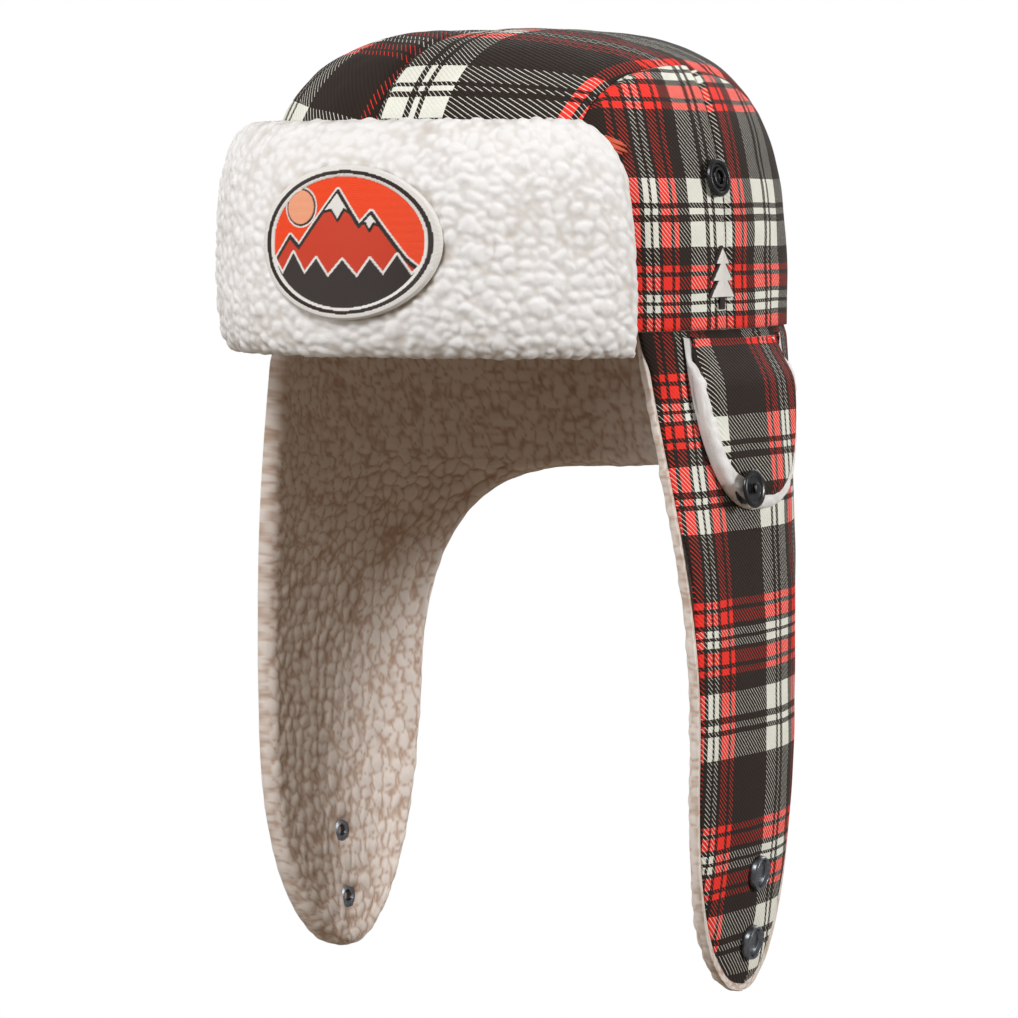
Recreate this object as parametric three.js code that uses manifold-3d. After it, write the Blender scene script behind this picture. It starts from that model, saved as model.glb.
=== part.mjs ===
// A trapper hat in plaid twill with a curly fleece lining: a six-panel crown, a fleece visor folded up
// and tacked at the front, an ear and neck band with two long flaps, and a small hatch over each ear.
// Millimetres. The origin is the centre of the head opening, in the plane of the crown's lower edge.
// +Z is up, the wearer faces -Y, and the wearer's left is +X. "turn" is an angle round the hat, 0 at the
// front and growing towards the wearer's left; "off" is a distance outwards from a cloth face.
import * as THREE from "three";
import { mergeVertices } from "three/addons/utils/BufferGeometryUtils.js";
import Module from "manifold-3d";

const wasm = await Module();
wasm.setup();

// Crown
const crownHalfWidth = 95;
const crownHalfLength = 113;
const crownHeight = 117;
const planPower = 2.3; // superellipse power of the outline seen from above
const profilePower = 3.4; // and of the outline seen from the side
const archSeamInset = 24; // from the crown's side to the seam that arches over from front to back
const sideSeamLean = 14; // how far the seam over the ear leans back near its top

// Cloth layers
const shellThickness = 1.5;
const liningThickness = 6.5;
const sewnGap = 0.3; // between two pieces that are sewn or set together

// Ear and neck band, and the flaps below it
const bandInset = 0.5; // the band's top edge sits this far inside the crown's edge
const bandSplay = 12.5; // how far the band stands out at its widest
const splayDrop = 150; // depth at which it is widest
const tipTuck = 9; // how far the flap's tip comes back in
const bandForward = 12; // how far the lower band hangs forward
const neckDrop = 61; // depth of the band at the back of the neck
const bandFrontSetback = 61; // from the crown's front to the band's front edge
const flapCentre = 9.5; // the flap's middle line, behind the ear line
const flapWidth = 95;
const flapDrop = 260;
const foldDrop = 95; // depth of the line that the flap folds on
const foldClearance = 1; // the line that a flap turns on lies this far outside the cloth
const flapInwardFold = 25; // degrees that a flap folds in under the chin

// Hatch over each ear
const hatchDrop = 70;
const hatchHalfWidth = 39;
const hatchSetback = 8; // its middle behind the seam over the ear
const hatchTopDrop = 3;
const hatchRoundness = 2.5;
const hatchLiningThickness = 5;
const hatchClearance = 0.8;
const hatchRollDepth = 22; // the top of the hatch thins over this depth, towards its seam
const hatchSnapInset = 6; // from the hatch's lower edge to the middle of its snap
const hatchSnapLead = 8; // its snap and the crown's, in front of the seam over the ear
const hatchFoldReach = 4; // the fold line lies this far inside the hatch's outermost face

// Visor
const visorHeight = 80; // above the crown's lower edge
const visorDrop = 9; // below it
const visorFoldRadius = 4; // of the fold at its bottom
const visorHalfTurn = 62;
const visorBulge = 14.5; // outwards from the crown's edge, at its thickest
const visorFrontBulge = 2.5; // and this much more at the middle of the front
const visorCornerHeight = 35;
const visorCornerShare = 0.2; // share of the half visor that the rounded corner takes
const visorBackThickness = 1.2;
const visorStiffenerThickness = 2;
const visorClearance = 1.4; // between the crown and the back of the visor
const visorHem = 3; // the layers inside stop this far short of the fleece's edge
const visorFootSetback = 2.5; // from the fold under the crown to the band's front edge
const tackLength = 9;
const tackWidth = 2;

// Badges
const badgeWidth = 79;
const badgeHeight = 58;
const badgeThickness = 2;
const badgeRise = 34; // its middle above the crown's lower edge
const badgeSetback = 5.5; // its middle to the left of the hat's middle
const sideBadgeWidth = 20;
const sideBadgeHeight = 27;
const sideBadgeThickness = 0.8;
const sideBadgeRise = 20;
const sideBadgeForward = 6;

// Snaps
const snapDiameter = 15; // on the crown and the hatches
const capDiameter = 13; // on the flaps
const barrelDiameter = 5;
const barrelClearance = 0.3;
const snapHeight = 3.7;
const snapFlangeDiameter = 12;
const flangeThickness = 1.2;
const flangeSeat = 1.1; // room between a flange and the curved cloth over it
const pocketDepth = 3; // how far the flap fittings sink into the lining
const upperSnapDrop = 212.5;
const snapSpacing = 27.5;

const radians = THREE.MathUtils.degToRad;
const power = (value, exponent) => Math.sign(value) * Math.abs(value) ** exponent;
const smooth = (value) => THREE.MathUtils.smoothstep(value, 0, 1);
const bandOuterOff = -bandInset;
const liningOff = -shellThickness - sewnGap;
const innerOff = liningOff - liningThickness;
const archSeamX = crownHalfWidth - archSeamInset;
const reach = 2 * (crownHalfWidth + crownHalfLength); // past every edge, for cutting tools

// ---- surfaces ----

// A point of the superellipse seen from above.
function planPoint(turn, halfWidth, halfLength) {
  const x = halfWidth * power(Math.sin(radians(turn)), 2 / planPower);
  const y = -halfLength * power(Math.cos(radians(turn)), 2 / planPower);
  return new THREE.Vector2(x, y);
}

// How wide the crown is at a height, as a share of its width at the lower edge.
function crownShare(z) {
  const height = Math.max(z, 0) / crownHeight;
  return (1 - height ** profilePower) ** (1 / profilePower);
}

function crownPoint(turn, z, off) {
  const share = crownShare(z);
  const plan = planPoint(turn, crownHalfWidth * share + off, crownHalfLength * share + off);
  return new THREE.Vector3(plan.x, plan.y, z);
}

// Half the band's width, which grows down to splayDrop and comes back in at the tips.
function bandHalfWidth(z) {
  const drop = Math.max(-z, 0);
  const opened = bandSplay * Math.sin((Math.PI / 2) * Math.min(drop / splayDrop, 1));
  const below = Math.max(drop - splayDrop, 0) / (flapDrop - splayDrop);
  return crownHalfWidth + opened - tipTuck * below ** 2;
}

function bandPoint(turn, z, off) {
  const hang = smooth(Math.max(-z, 0) / splayDrop);
  const halfLength = crownHalfLength + (bandForward / 3) * hang + off;
  const plan = planPoint(turn, bandHalfWidth(z) + off, halfLength);
  return new THREE.Vector3(plan.x, plan.y - bandForward * hang, z);
}

// ---- solids ----

// Drops what a geometry holds besides its shape, joins its vertices and gives a manifold solid with its
// faces pointing out, whichever way round the geometry was drawn.
function solid(geometry) {
  geometry.deleteAttribute("normal");
  geometry.deleteAttribute("uv");
  const joined = mergeVertices(geometry, 1e-4);
  const corners = joined.index.array;
  const kept = [];
  for (let i = 0; i < corners.length; i += 3) {
    const [a, b, c] = corners.slice(i, i + 3);
    if (a !== b && b !== c && c !== a) kept.push(a, b, c);
  }
  const vertProperties = new Float32Array(joined.attributes.position.array);
  const made = (triVerts) => new wasm.Manifold(new wasm.Mesh({ numProp: 3, vertProperties, triVerts }));
  const drawn = made(new Uint32Array(kept));
  return drawn.volume() > 0 ? drawn : made(new Uint32Array(kept.reverse()));
}

// A closed wall between two faces. outer(u, v) and inner(u, v) give points for u and v from 0 to 1.
function wall(outer, inner, columns, rows) {
  const points = [];
  const faces = [];
  for (const face of [outer, inner]) {
    for (let row = 0; row <= rows; row += 1) {
      for (let column = 0; column <= columns; column += 1) {
        points.push(...face(column / columns, row / rows).toArray());
      }
    }
  }
  const layer = (columns + 1) * (rows + 1);
  const at = (column, row) => row * (columns + 1) + column;
  const quad = (a, b, c, d) => faces.push(a, b, c, a, c, d);
  for (let row = 0; row < rows; row += 1) {
    for (let column = 0; column < columns; column += 1) {
      const a = at(column, row);
      const b = at(column + 1, row);
      const c = at(column + 1, row + 1);
      const d = at(column, row + 1);
      quad(a, b, c, d);
      quad(a + layer, d + layer, c + layer, b + layer);
    }
  }
  const rim = [];
  for (let column = 0; column < columns; column += 1) rim.push(at(column, 0));
  for (let row = 0; row < rows; row += 1) rim.push(at(columns, row));
  for (let column = columns; column > 0; column -= 1) rim.push(at(column, rows));
  for (let row = rows; row > 0; row -= 1) rim.push(at(0, row));
  rim.forEach((point, i) => {
    const next = rim[(i + 1) % rim.length];
    quad(next, point, point + layer, next + layer);
  });
  const geometry = new THREE.BufferGeometry();
  geometry.setAttribute("position", new THREE.Float32BufferAttribute(points, 3));
  geometry.setIndex(faces);
  return solid(geometry);
}

function block(from, to) {
  const size = to.clone().sub(from);
  const geometry = new THREE.BoxGeometry(size.x, size.y, size.z);
  geometry.translate(from.x + size.x / 2, from.y + size.y / 2, from.z + size.z / 2);
  return solid(geometry);
}

const slabX = (from, to) => block(
  new THREE.Vector3(from, -reach, -reach), new THREE.Vector3(to, reach, reach));
const slabZ = (from, to) => block(
  new THREE.Vector3(-reach, -reach, from), new THREE.Vector3(reach, reach, to));

// A shape drawn in (y, z), extruded along X.
function prismAlongX(shape, from, to) {
  const geometry = new THREE.ExtrudeGeometry(shape, {
    depth: to - from, bevelEnabled: false, curveSegments: 5,
  });
  const turned = new THREE.Matrix4().makeBasis(
    new THREE.Vector3(0, 1, 0), new THREE.Vector3(0, 0, 1), new THREE.Vector3(1, 0, 0));
  geometry.applyMatrix4(turned);
  geometry.translate(from, 0, 0);
  return solid(geometry);
}

// A shape drawn in (x, z), extruded along Y.
function prismAlongY(shape, from, to) {
  const geometry = new THREE.ExtrudeGeometry(shape, {
    depth: to - from, bevelEnabled: false, curveSegments: 16,
  });
  geometry.rotateX(Math.PI / 2);
  geometry.translate(0, to, 0);
  return solid(geometry);
}

// ---- crown ----

// The crown's solid off millimetres out from its cloth face, with a straight skirt below its edge.
function dome(off) {
  const geometry = new THREE.SphereGeometry(1, 32, 16);
  const points = geometry.attributes.position;
  for (let i = 0; i < points.count; i += 1) {
    const rise = Math.asin(THREE.MathUtils.clamp(points.getY(i), -1, 1));
    const turn = THREE.MathUtils.radToDeg(Math.atan2(points.getX(i), points.getZ(i)));
    const share = rise > 0 ? Math.cos(rise) ** (2 / profilePower) : Math.sqrt(Math.cos(rise));
    const lift = (crownHeight + off) * power(Math.sin(rise), 2 / profilePower);
    const plan = planPoint(turn, (crownHalfWidth + off) * share, (crownHalfLength + off) * share);
    const z = rise > 0 ? lift : Math.sin(rise) * crownHeight;
    points.setXYZ(i, plan.x, plan.y, z);
  }
  return solid(geometry);
}

const aboveEdge = slabZ(sewnGap, reach);
const crownShell = dome(0).subtract(dome(-shellThickness)).intersect(aboveEdge);
const crownLining = dome(liningOff).subtract(dome(innerOff)).intersect(aboveEdge);

// The thin gap of the seam over each ear, which runs straight up and then leans back.
function sideSeam() {
  const straight = 0.55 * crownHeight;
  const bend = 0.8 * crownHeight;
  const half = sewnGap / 2;
  const line = [[0, -5], [0, straight], [sideSeamLean / 2, bend], [3 * sideSeamLean, crownHeight + 5]];
  const near = line.map(([y, z]) => new THREE.Vector2(y - half, z));
  const far = line.map(([y, z]) => new THREE.Vector2(y + half, z)).reverse();
  return prismAlongX(new THREE.Shape([...near, ...far]), archSeamX, reach);
}

const seam = sideSeam();
const edge = sewnGap / 2;
const centrePanel = slabX(edge, archSeamX - edge);
const sideRegion = slabX(archSeamX + edge, reach);

// The side panels' two halves: the seam's gap parts them, and each keeps the piece on its own side.
function sidePanel(front) {
  const parts = crownShell.intersect(sideRegion).subtract(seam).decompose();
  const middle = (part) => (part.boundingBox().min[1] + part.boundingBox().max[1]) / 2;
  parts.sort((a, b) => middle(a) - middle(b));
  return front ? parts[0] : parts[parts.length - 1];
}

// ---- ear and neck band, and flap ----

const flapFront = flapCentre - flapWidth / 2;
const flapRear = flapCentre + flapWidth / 2;
const bandFront = -crownHalfLength + bandFrontSetback;
const neckBack = crownHalfLength - bandForward / 3;

// The outline of a whole side seen from that side: the front edge, round the tip and up to the neck.
function sideOutline() {
  const shape = new THREE.Shape();
  const waist = splayDrop + 15;
  const tipRound = 0.45 * flapWidth;
  shape.moveTo(bandFront, -sewnGap);
  shape.bezierCurveTo(bandFront + 3, -neckDrop, flapFront, -foldDrop - 5, flapFront, -waist);
  shape.bezierCurveTo(
    flapFront, -flapDrop + 25, flapCentre - tipRound / 2, -flapDrop, flapCentre, -flapDrop);
  shape.bezierCurveTo(
    flapCentre + tipRound / 2, -flapDrop, flapRear - 3, -flapDrop + 35, flapRear, -splayDrop);
  shape.bezierCurveTo(
    flapRear + 1, -foldDrop + 3, (flapRear + neckBack) / 2, -neckDrop - 1, neckBack, -neckDrop - 1);
  shape.lineTo(reach, -neckDrop);
  shape.lineTo(reach, -sewnGap);
  return shape;
}

// The line that a flap turns on runs front to back, just outside the band's widest point there.
const foldX = bandHalfWidth(-foldDrop) + foldClearance;
const wedge = radians(flapInwardFold / 2 + 2); // half the fold, and a little more to stay clear

// Everything above the fold, or below it: each edge slopes back from the fold line by half the fold.
function foldSide(above) {
  const far = 2 * crownHalfWidth;
  const tilt = (above ? 1 : -1) * Math.tan(wedge) * far;
  const gap = (above ? 1 : -1) * edge;
  const limit = above ? reach : -reach;
  const shape = new THREE.Shape();
  shape.moveTo(reach, -foldDrop + gap);
  shape.lineTo(foldX, -foldDrop + gap);
  shape.lineTo(foldX - far, -foldDrop + gap + tilt);
  shape.lineTo(foldX - far, limit);
  shape.lineTo(reach, limit);
  return prismAlongY(shape, -reach, reach);
}

// One layer of a side between two depths and as far round as the outline needs.
function bandLayer(outerOff, layerInnerOff, top, bottom, lastTurn, columns, rows) {
  const firstTurn = 45;
  const face = (off) => (u, v) => bandPoint(
    firstTurn + (lastTurn - firstTurn) * u, top + (bottom - top) * v, off);
  const layer = wall(face(outerOff), face(layerInnerOff), columns, rows);
  return layer.intersect(prismAlongX(sideOutline(), edge, reach));
}

const bandLower = -foldDrop - 20;
const flapUpper = -foldDrop + 20;
const band = (outerOff, layerInnerOff) =>
  bandLayer(outerOff, layerInnerOff, 1, bandLower, 190, 16, 5).intersect(foldSide(true));
const flap = (outerOff, layerInnerOff) =>
  bandLayer(outerOff, layerInnerOff, flapUpper, -flapDrop - 2, 145, 9, 8).intersect(foldSide(false));
const bandLiningOff = bandOuterOff + liningOff;
const bandInnerOff = bandLiningOff - liningThickness;

// ---- hatch ----

// The hatch thins towards the seam it hangs from.
const hatchShare = (z) => 0.3 + 0.7 * smooth((-z - hatchTopDrop) / hatchRollDepth);
const hatchOuterOff = hatchClearance + hatchLiningThickness + sewnGap + shellThickness;

// The height of the hatch's rounded lower edge at a place from front to back.
function hatchEdge(y) {
  const across = Math.min(Math.abs(y - hatchSetback) / hatchHalfWidth, 1);
  const drop = (1 - across ** hatchRoundness) ** (1 / hatchRoundness);
  return -hatchTopDrop - (hatchDrop - hatchTopDrop) * drop;
}

function hatchLayer(outerOff, layerInnerOff) {
  const face = (off) => (u, v) => {
    const z = -hatchTopDrop - (hatchDrop + 2) * v;
    const raised = hatchClearance + (off - hatchClearance) * hatchShare(z);
    return bandPoint(55 + 70 * u, z, bandOuterOff + raised);
  };
  const outline = [new THREE.Vector2(hatchSetback + hatchHalfWidth, 0)];
  const steps = 16;
  for (let i = 0; i <= steps; i += 1) {
    const y = hatchSetback + hatchHalfWidth * Math.cos((Math.PI * i) / steps);
    outline.push(new THREE.Vector2(y, hatchEdge(y) - edge));
  }
  outline.push(new THREE.Vector2(hatchSetback - hatchHalfWidth, 0));
  const cutter = prismAlongX(new THREE.Shape(outline), edge, reach);
  return wall(face(outerOff), face(layerInnerOff), 8, 6).intersect(cutter);
}

// ---- visor ----

// The fleece face starts a little above the bottom of the fold that carries on under the crown.
const visorFaceLow = -visorDrop + visorFoldRadius;

// Where the visor's rounded outline runs, for u from -1 to 1 round the hat and v from 0 to 1 upwards.
function visorPlace(u, v, hem) {
  const corner = Math.max((Math.abs(u) - 1 + visorCornerShare) / visorCornerShare, 0);
  const top = visorHeight - hem - visorCornerHeight * (1 - Math.sqrt(1 - Math.min(corner, 1) ** 2));
  const bottom = hem > 0 ? hem : visorFaceLow;
  const hemTurn = widthAsTurn(hem);
  return { turn: u * (visorHalfTurn - hemTurn), z: bottom + (top - bottom) * v };
}

// A hem's width as an angle at the crown's side.
function widthAsTurn(width) {
  return THREE.MathUtils.radToDeg(width / crownHalfWidth);
}

const visorBackOff = visorClearance;
const visorStiffenerOff = visorBackOff + visorBackThickness + sewnGap;
const visorFleeceOff = visorStiffenerOff + visorStiffenerThickness + 3 * sewnGap;
const spread = (u) => Math.sin((u - 0.5) * Math.PI);

function visorLayer(innerLayerOff, thickness, hem) {
  const face = (off) => (u, v) => {
    const place = visorPlace(spread(u), v, hem);
    return crownPoint(place.turn, place.z, off);
  };
  return wall(face(innerLayerOff + thickness), face(innerLayerOff), 20, 5);
}

// How far the fleece face stands out from the crown at a place, full in the middle and round at the rim.
function fleeceReach(u, v, z) {
  const rim = (1 - Math.abs(2 * v - 1) ** 6) ** (1 / 3) * (1 - Math.abs(u) ** 16) ** (1 / 3);
  const upright = crownHalfWidth * (1 - crownShare(z)) * 0.75;
  const front = visorFrontBulge * Math.cos(radians(u * visorHalfTurn)) ** 2;
  const least = visorFleeceOff + 2;
  return least + (visorBulge + front + upright - least) * rim;
}

function visorFleece() {
  const outer = (u, v) => {
    const place = visorPlace(spread(u), v, 0);
    return crownPoint(place.turn, place.z, fleeceReach(spread(u), v, place.z));
  };
  const inner = (u, v) => {
    const place = visorPlace(spread(u), v, 0);
    return crownPoint(place.turn, place.z, visorFleeceOff);
  };
  const face = wall(outer, inner, 20, 7);
  const footTurn = visorHalfTurn - widthAsTurn(visorFootSetback);
  const foot = (low) => (u, v) => {
    const round = Math.sqrt(Math.max(1 - (2 * v - 1) ** 4, 0)) * (1 - Math.abs(spread(u)) ** 12);
    const z = low ? -sewnGap * 2 - (visorDrop - sewnGap * 2) * (0.25 + 0.75 * round) : -sewnGap * 2;
    const off = innerOff + (visorBulge * 0.8 - innerOff) * v;
    return crownPoint(footTurn * spread(u), z, off).setZ(z);
  };
  const stiffenerRoom = visorLayer(
    visorStiffenerOff - sewnGap, visorStiffenerThickness + 2 * sewnGap, visorHem - sewnGap);
  const folded = face.add(wall(foot(false), foot(true), 20, 4));
  return folded.subtract(dome(sewnGap)).subtract(stiffenerRoom);
}

// The stitched tack that holds the visor's upper corner to the crown.
function visorTack() {
  const turn = visorHalfTurn + widthAsTurn(visorFootSetback + tackWidth / 2);
  const height = visorHeight - visorCornerHeight;
  const face = (off) => (u, v) => crownPoint(
    turn + widthAsTurn(tackWidth) * u, height + tackLength * v, off);
  return wall(face(2 * sewnGap + 1), face(2 * sewnGap), 1, 2);
}

// ---- badges ----

function ovalShape(width, height, x, z) {
  const shape = new THREE.Shape();
  shape.absellipse(x, z, width / 2, height / 2, 0, 2 * Math.PI);
  return shape;
}

function visorBadge() {
  const face = (off) => (u, v) => {
    const z = badgeRise + (badgeHeight + 4) * (v - 0.5);
    const turn = 84 * (u - 0.5);
    const place = (z - visorFaceLow) / (visorHeight - visorFaceLow);
    return crownPoint(turn, z, fleeceReach(turn / visorHalfTurn, place, z) + off);
  };
  const layer = wall(face(2 * sewnGap + badgeThickness), face(2 * sewnGap), 12, 6);
  const outline = ovalShape(badgeWidth, badgeHeight, badgeSetback, badgeRise);
  return layer.intersect(prismAlongY(outline, -reach, 0));
}

function crownSideBadge() {
  const face = (off) => (u, v) => crownPoint(
    70 + 40 * u, sideBadgeRise + (sideBadgeHeight + 4) * (v - 0.5), off);
  const layer = wall(face(2 * sewnGap + sideBadgeThickness), face(2 * sewnGap), 8, 4);
  const outline = ovalShape(sideBadgeWidth, sideBadgeHeight, -sideBadgeForward, sideBadgeRise);
  return layer.intersect(prismAlongX(outline, edge, reach));
}

// ---- snaps ----

// The frame of a snap: the point on the cloth's outer face and the way out of it.
function snapSeat(pointAt, z) {
  const step = 0.5;
  let turn = 90;
  const target = pointAt === crownPoint || -z < foldDrop ? -hatchSnapLead : flapCentre;
  for (let i = 0; i < 12; i += 1) {
    const slope = pointAt(turn + step, z, 0).y - pointAt(turn - step, z, 0).y;
    turn += (target - pointAt(turn, z, 0).y) / slope;
  }
  const across = pointAt(turn + step, z, 0).sub(pointAt(turn - step, z, 0));
  const up = pointAt(turn, z + step, 0).sub(pointAt(turn, z - step, 0));
  return { point: pointAt(turn, z, 0), normal: across.cross(up).normalize() };
}

// A closed turned solid from (radius, height) points, standing on a seat.
function turned(seat, profile) {
  const points = profile.map(([radius, height]) => new THREE.Vector2(radius, height));
  const geometry = new THREE.LatheGeometry(points, 12);
  const outward = new THREE.Quaternion().setFromUnitVectors(new THREE.Vector3(0, 1, 0), seat.normal);
  geometry.applyQuaternion(outward);
  geometry.translate(seat.point.x, seat.point.y, seat.point.z);
  return solid(geometry);
}

const plug = (seat, radius, from, to) => turned(seat, [[0, from], [radius, from], [radius, to], [0, to]]);
const barrelRadius = barrelDiameter / 2;
const holeRadius = barrelRadius + barrelClearance;

// A ring with a dished face round its hole, from one height to another.
function ring(seat, radius, from, to) {
  const dish = (radius + holeRadius) / 2;
  const floor = from + (to - from) * 0.55;
  return turned(seat, [
    [holeRadius, from], [radius - 0.4, from], [radius, (from + to) / 2], [radius - 0.6, to],
    [dish, to], [dish - 0.8, floor], [holeRadius, floor], [holeRadius, from],
  ]);
}

// A ring with a raised stud round its hole.
function stud(seat, radius, from, to) {
  const studRadius = holeRadius + 1.3;
  const step = from + (to - from) * 0.4;
  return turned(seat, [
    [holeRadius, from], [radius - 0.4, from], [radius, (from + step) / 2], [radius - 0.6, step],
    [studRadius - 0.3, step], [studRadius, to - 0.6], [studRadius - 0.4, to], [holeRadius, to],
    [holeRadius, from],
  ]);
}

// A round head between two heights, with a barrel that reaches to a third.
function headed(seat, radius, headNear, headFar, barrelEnd) {
  const profile = [
    [0, headFar], [radius - 0.8, headFar], [radius, (headNear + headFar) / 2], [radius - 0.2, headNear],
    [barrelRadius, headNear], [barrelRadius, barrelEnd], [0, barrelEnd],
  ];
  return turned(seat, barrelEnd > headFar ? profile : profile.reverse());
}

const snapRadius = snapDiameter / 2;
const capRadius = capDiameter / 2;
const flangeTop = -shellThickness - flangeSeat;
const crownSnapFlange = snapFlangeDiameter / 2;
const hatchSnapZ = hatchEdge(-hatchSnapLead) + hatchSnapInset;
const hatchFace = (turn, z, off) => bandPoint(turn, z, bandOuterOff + hatchOuterOff + off);
const hatchSeat = snapSeat(hatchFace, hatchSnapZ);

// The hatch turns on a line beside its seam, and its snap then meets the crown's.
const hatchFoldX = hatchFace(90, hatchSnapZ, 0).x - hatchFoldReach;
const hatchFoldZ = -hatchTopDrop / 2;
const crownSeat = snapSeat(crownPoint, 2 * hatchFoldZ - hatchSnapZ);
const flapFace = (turn, z, off) => bandPoint(turn, z, bandOuterOff + off);
const upperSeat = snapSeat(flapFace, -upperSnapDrop);
const lowerSeat = snapSeat(flapFace, -upperSnapDrop - snapSpacing);
const throughLining = -shellThickness - sewnGap - liningThickness;
const pocketFloor = throughLining + pocketDepth;

// The hole for a barrel through the shell, and room for a flange behind it.
function hiddenSeatCuts(seat) {
  const barrel = plug(seat, holeRadius, flangeTop - 3, 5);
  const flange = plug(seat, crownSnapFlange + barrelClearance, flangeTop - flangeThickness - 0.6, 0);
  const room = plug(seat, crownSnapFlange + barrelClearance, flangeTop - flangeThickness, flangeTop + sewnGap);
  return { barrel, flange, room };
}

// The hole for a barrel through both layers of a flap, and the pocket its inner fitting sinks into.
function throughCuts(seat) {
  const barrel = plug(seat, holeRadius, throughLining - 5, 5);
  const pocket = plug(seat, capRadius + barrelClearance, throughLining - 5, pocketFloor);
  return { barrel, pocket };
}

const crownCuts = hiddenSeatCuts(crownSeat);
const hatchCuts = hiddenSeatCuts(hatchSeat);
const upperCuts = throughCuts(upperSeat);
const lowerCuts = throughCuts(lowerSeat);
const face = sewnGap;
const flangeEnd = flangeTop - flangeThickness;
const innerHead = pocketFloor - sewnGap;
const innerHeadEnd = innerHead - 2;

const hiddenPost = (seat) => headed(seat, crownSnapFlange, flangeTop, flangeEnd, snapHeight * 0.5);
const flapCap = (seat) => headed(seat, capRadius, face, face + 2.2, innerHeadEnd + 0.6);
const flapSocket = (seat) => ring(seat, capRadius - barrelClearance, innerHead, innerHeadEnd);
const flapStud = (seat) => stud(seat, capRadius, face, face + snapHeight);
const flapPost = (seat) => headed(seat, capRadius - barrelClearance, innerHead, innerHeadEnd, face + 1.5);

// ---- materials ----

const finish = (color, roughness, metalness = 0) => ({ color, roughness, metalness });
const twill = finish(0x6b3a31, 0.9);
const fleece = finish(0xe6e1d8, 1);
const stiffener = finish(0xd9d4c8, 0.95);
const thread = finish(0xd9653b, 0.8);
const badge = finish(0xd9582b, 0.8);
const sideBadge = finish(0xe9e4da, 0.8);
const blackMetal = finish(0x17171a, 0.35, 0.6);
const greyMetal = finish(0x7d7e82, 0.3, 0.9);

// ---- the hat ----

const hat = new THREE.Group();

function addMesh(name, piece, look, mirrored) {
  const made = piece.getMesh();
  const points = new Float32Array(made.vertProperties);
  const corners = new Uint32Array(made.triVerts);
  if (mirrored) {
    for (let i = 0; i < points.length; i += 3) points[i] = -points[i];
    for (let i = 0; i < corners.length; i += 3) {
      [corners[i], corners[i + 1]] = [corners[i + 1], corners[i]];
    }
  }
  const geometry = new THREE.BufferGeometry();
  geometry.setAttribute("position", new THREE.BufferAttribute(points, 3));
  geometry.setIndex(new THREE.BufferAttribute(corners, 1));
  geometry.computeVertexNormals();
  const mesh = new THREE.Mesh(geometry, new THREE.MeshStandardMaterial(look));
  mesh.name = name;
  hat.add(mesh);
}

// Adds a piece on the wearer's left and its mirror image on the right.
function addPair(name, piece, look) {
  addMesh(`left_${name}`, piece, look, false);
  addMesh(`right_${name}`, piece, look, true);
}

addPair("crown_centre_panel", crownShell.intersect(centrePanel), twill);
const seatedPanel = (front) => sidePanel(front).subtract(crownCuts.barrel).subtract(crownCuts.room);
addPair("crown_front_panel", seatedPanel(true), twill);
addPair("crown_rear_panel", seatedPanel(false), twill);
addMesh("crown_lining_centre", crownLining.intersect(slabX(-archSeamX + edge, archSeamX - edge)), fleece);
addPair("crown_lining_side", crownLining.intersect(sideRegion).subtract(crownCuts.flange), fleece);

addMesh("visor_back_panel", visorLayer(visorBackOff, visorBackThickness, visorHem), twill);
const visorStiffening = visorLayer(visorStiffenerOff, visorStiffenerThickness, visorHem);
addMesh("visor_stiffener", visorStiffening, stiffener);
addMesh("visor_fleece", visorFleece(), fleece);
addPair("visor_tack", visorTack(), thread);
addMesh("visor_emblem", visorBadge(), badge);
addMesh("side_emblem", crownSideBadge(), sideBadge);

addPair("band_shell", band(bandOuterOff, bandOuterOff - shellThickness), twill);
addPair("band_lining", band(bandLiningOff, bandInnerOff), fleece);

const flapCloth = flap(bandOuterOff, bandOuterOff - shellThickness);
const flapPile = flap(bandLiningOff, bandInnerOff);
const bothBarrels = upperCuts.barrel.add(lowerCuts.barrel);
const bothPockets = upperCuts.pocket.add(lowerCuts.pocket);
addPair("flap_shell", flapCloth.subtract(bothBarrels), twill);
addPair("flap_lining", flapPile.subtract(bothBarrels).subtract(bothPockets), fleece);

const hatchLiningOff = hatchClearance + hatchLiningThickness;
addPair("hatch_shell", hatchLayer(hatchOuterOff, hatchLiningOff + sewnGap).subtract(hatchCuts.barrel), twill);
addPair("hatch_lining", hatchLayer(hatchLiningOff, hatchClearance).subtract(hatchCuts.flange), fleece);

addPair("crown_snap_socket", ring(crownSeat, snapRadius, face, face + snapHeight), blackMetal);
addPair("crown_snap_post", hiddenPost(crownSeat), greyMetal);
addPair("hatch_snap_stud", stud(hatchSeat, snapRadius, face, face + snapHeight), blackMetal);
addPair("hatch_snap_post", hiddenPost(hatchSeat), greyMetal);
[["upper", upperSeat], ["lower", lowerSeat]].forEach(([level, seat]) => {
  addMesh(`left_flap_${level}_cap`, flapCap(seat), greyMetal);
  addMesh(`left_flap_${level}_socket`, flapSocket(seat), greyMetal);
  addMesh(`right_flap_${level}_stud`, flapStud(seat), greyMetal, true);
  addMesh(`right_flap_${level}_post`, flapPost(seat), greyMetal, true);
});

export default hat;
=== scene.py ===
# A trapper hat in plaid twill, lined with curly fleece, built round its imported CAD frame.
import math

import bmesh
import bpy
import numpy as np
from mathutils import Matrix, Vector
from mathutils.kdtree import KDTree


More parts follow.
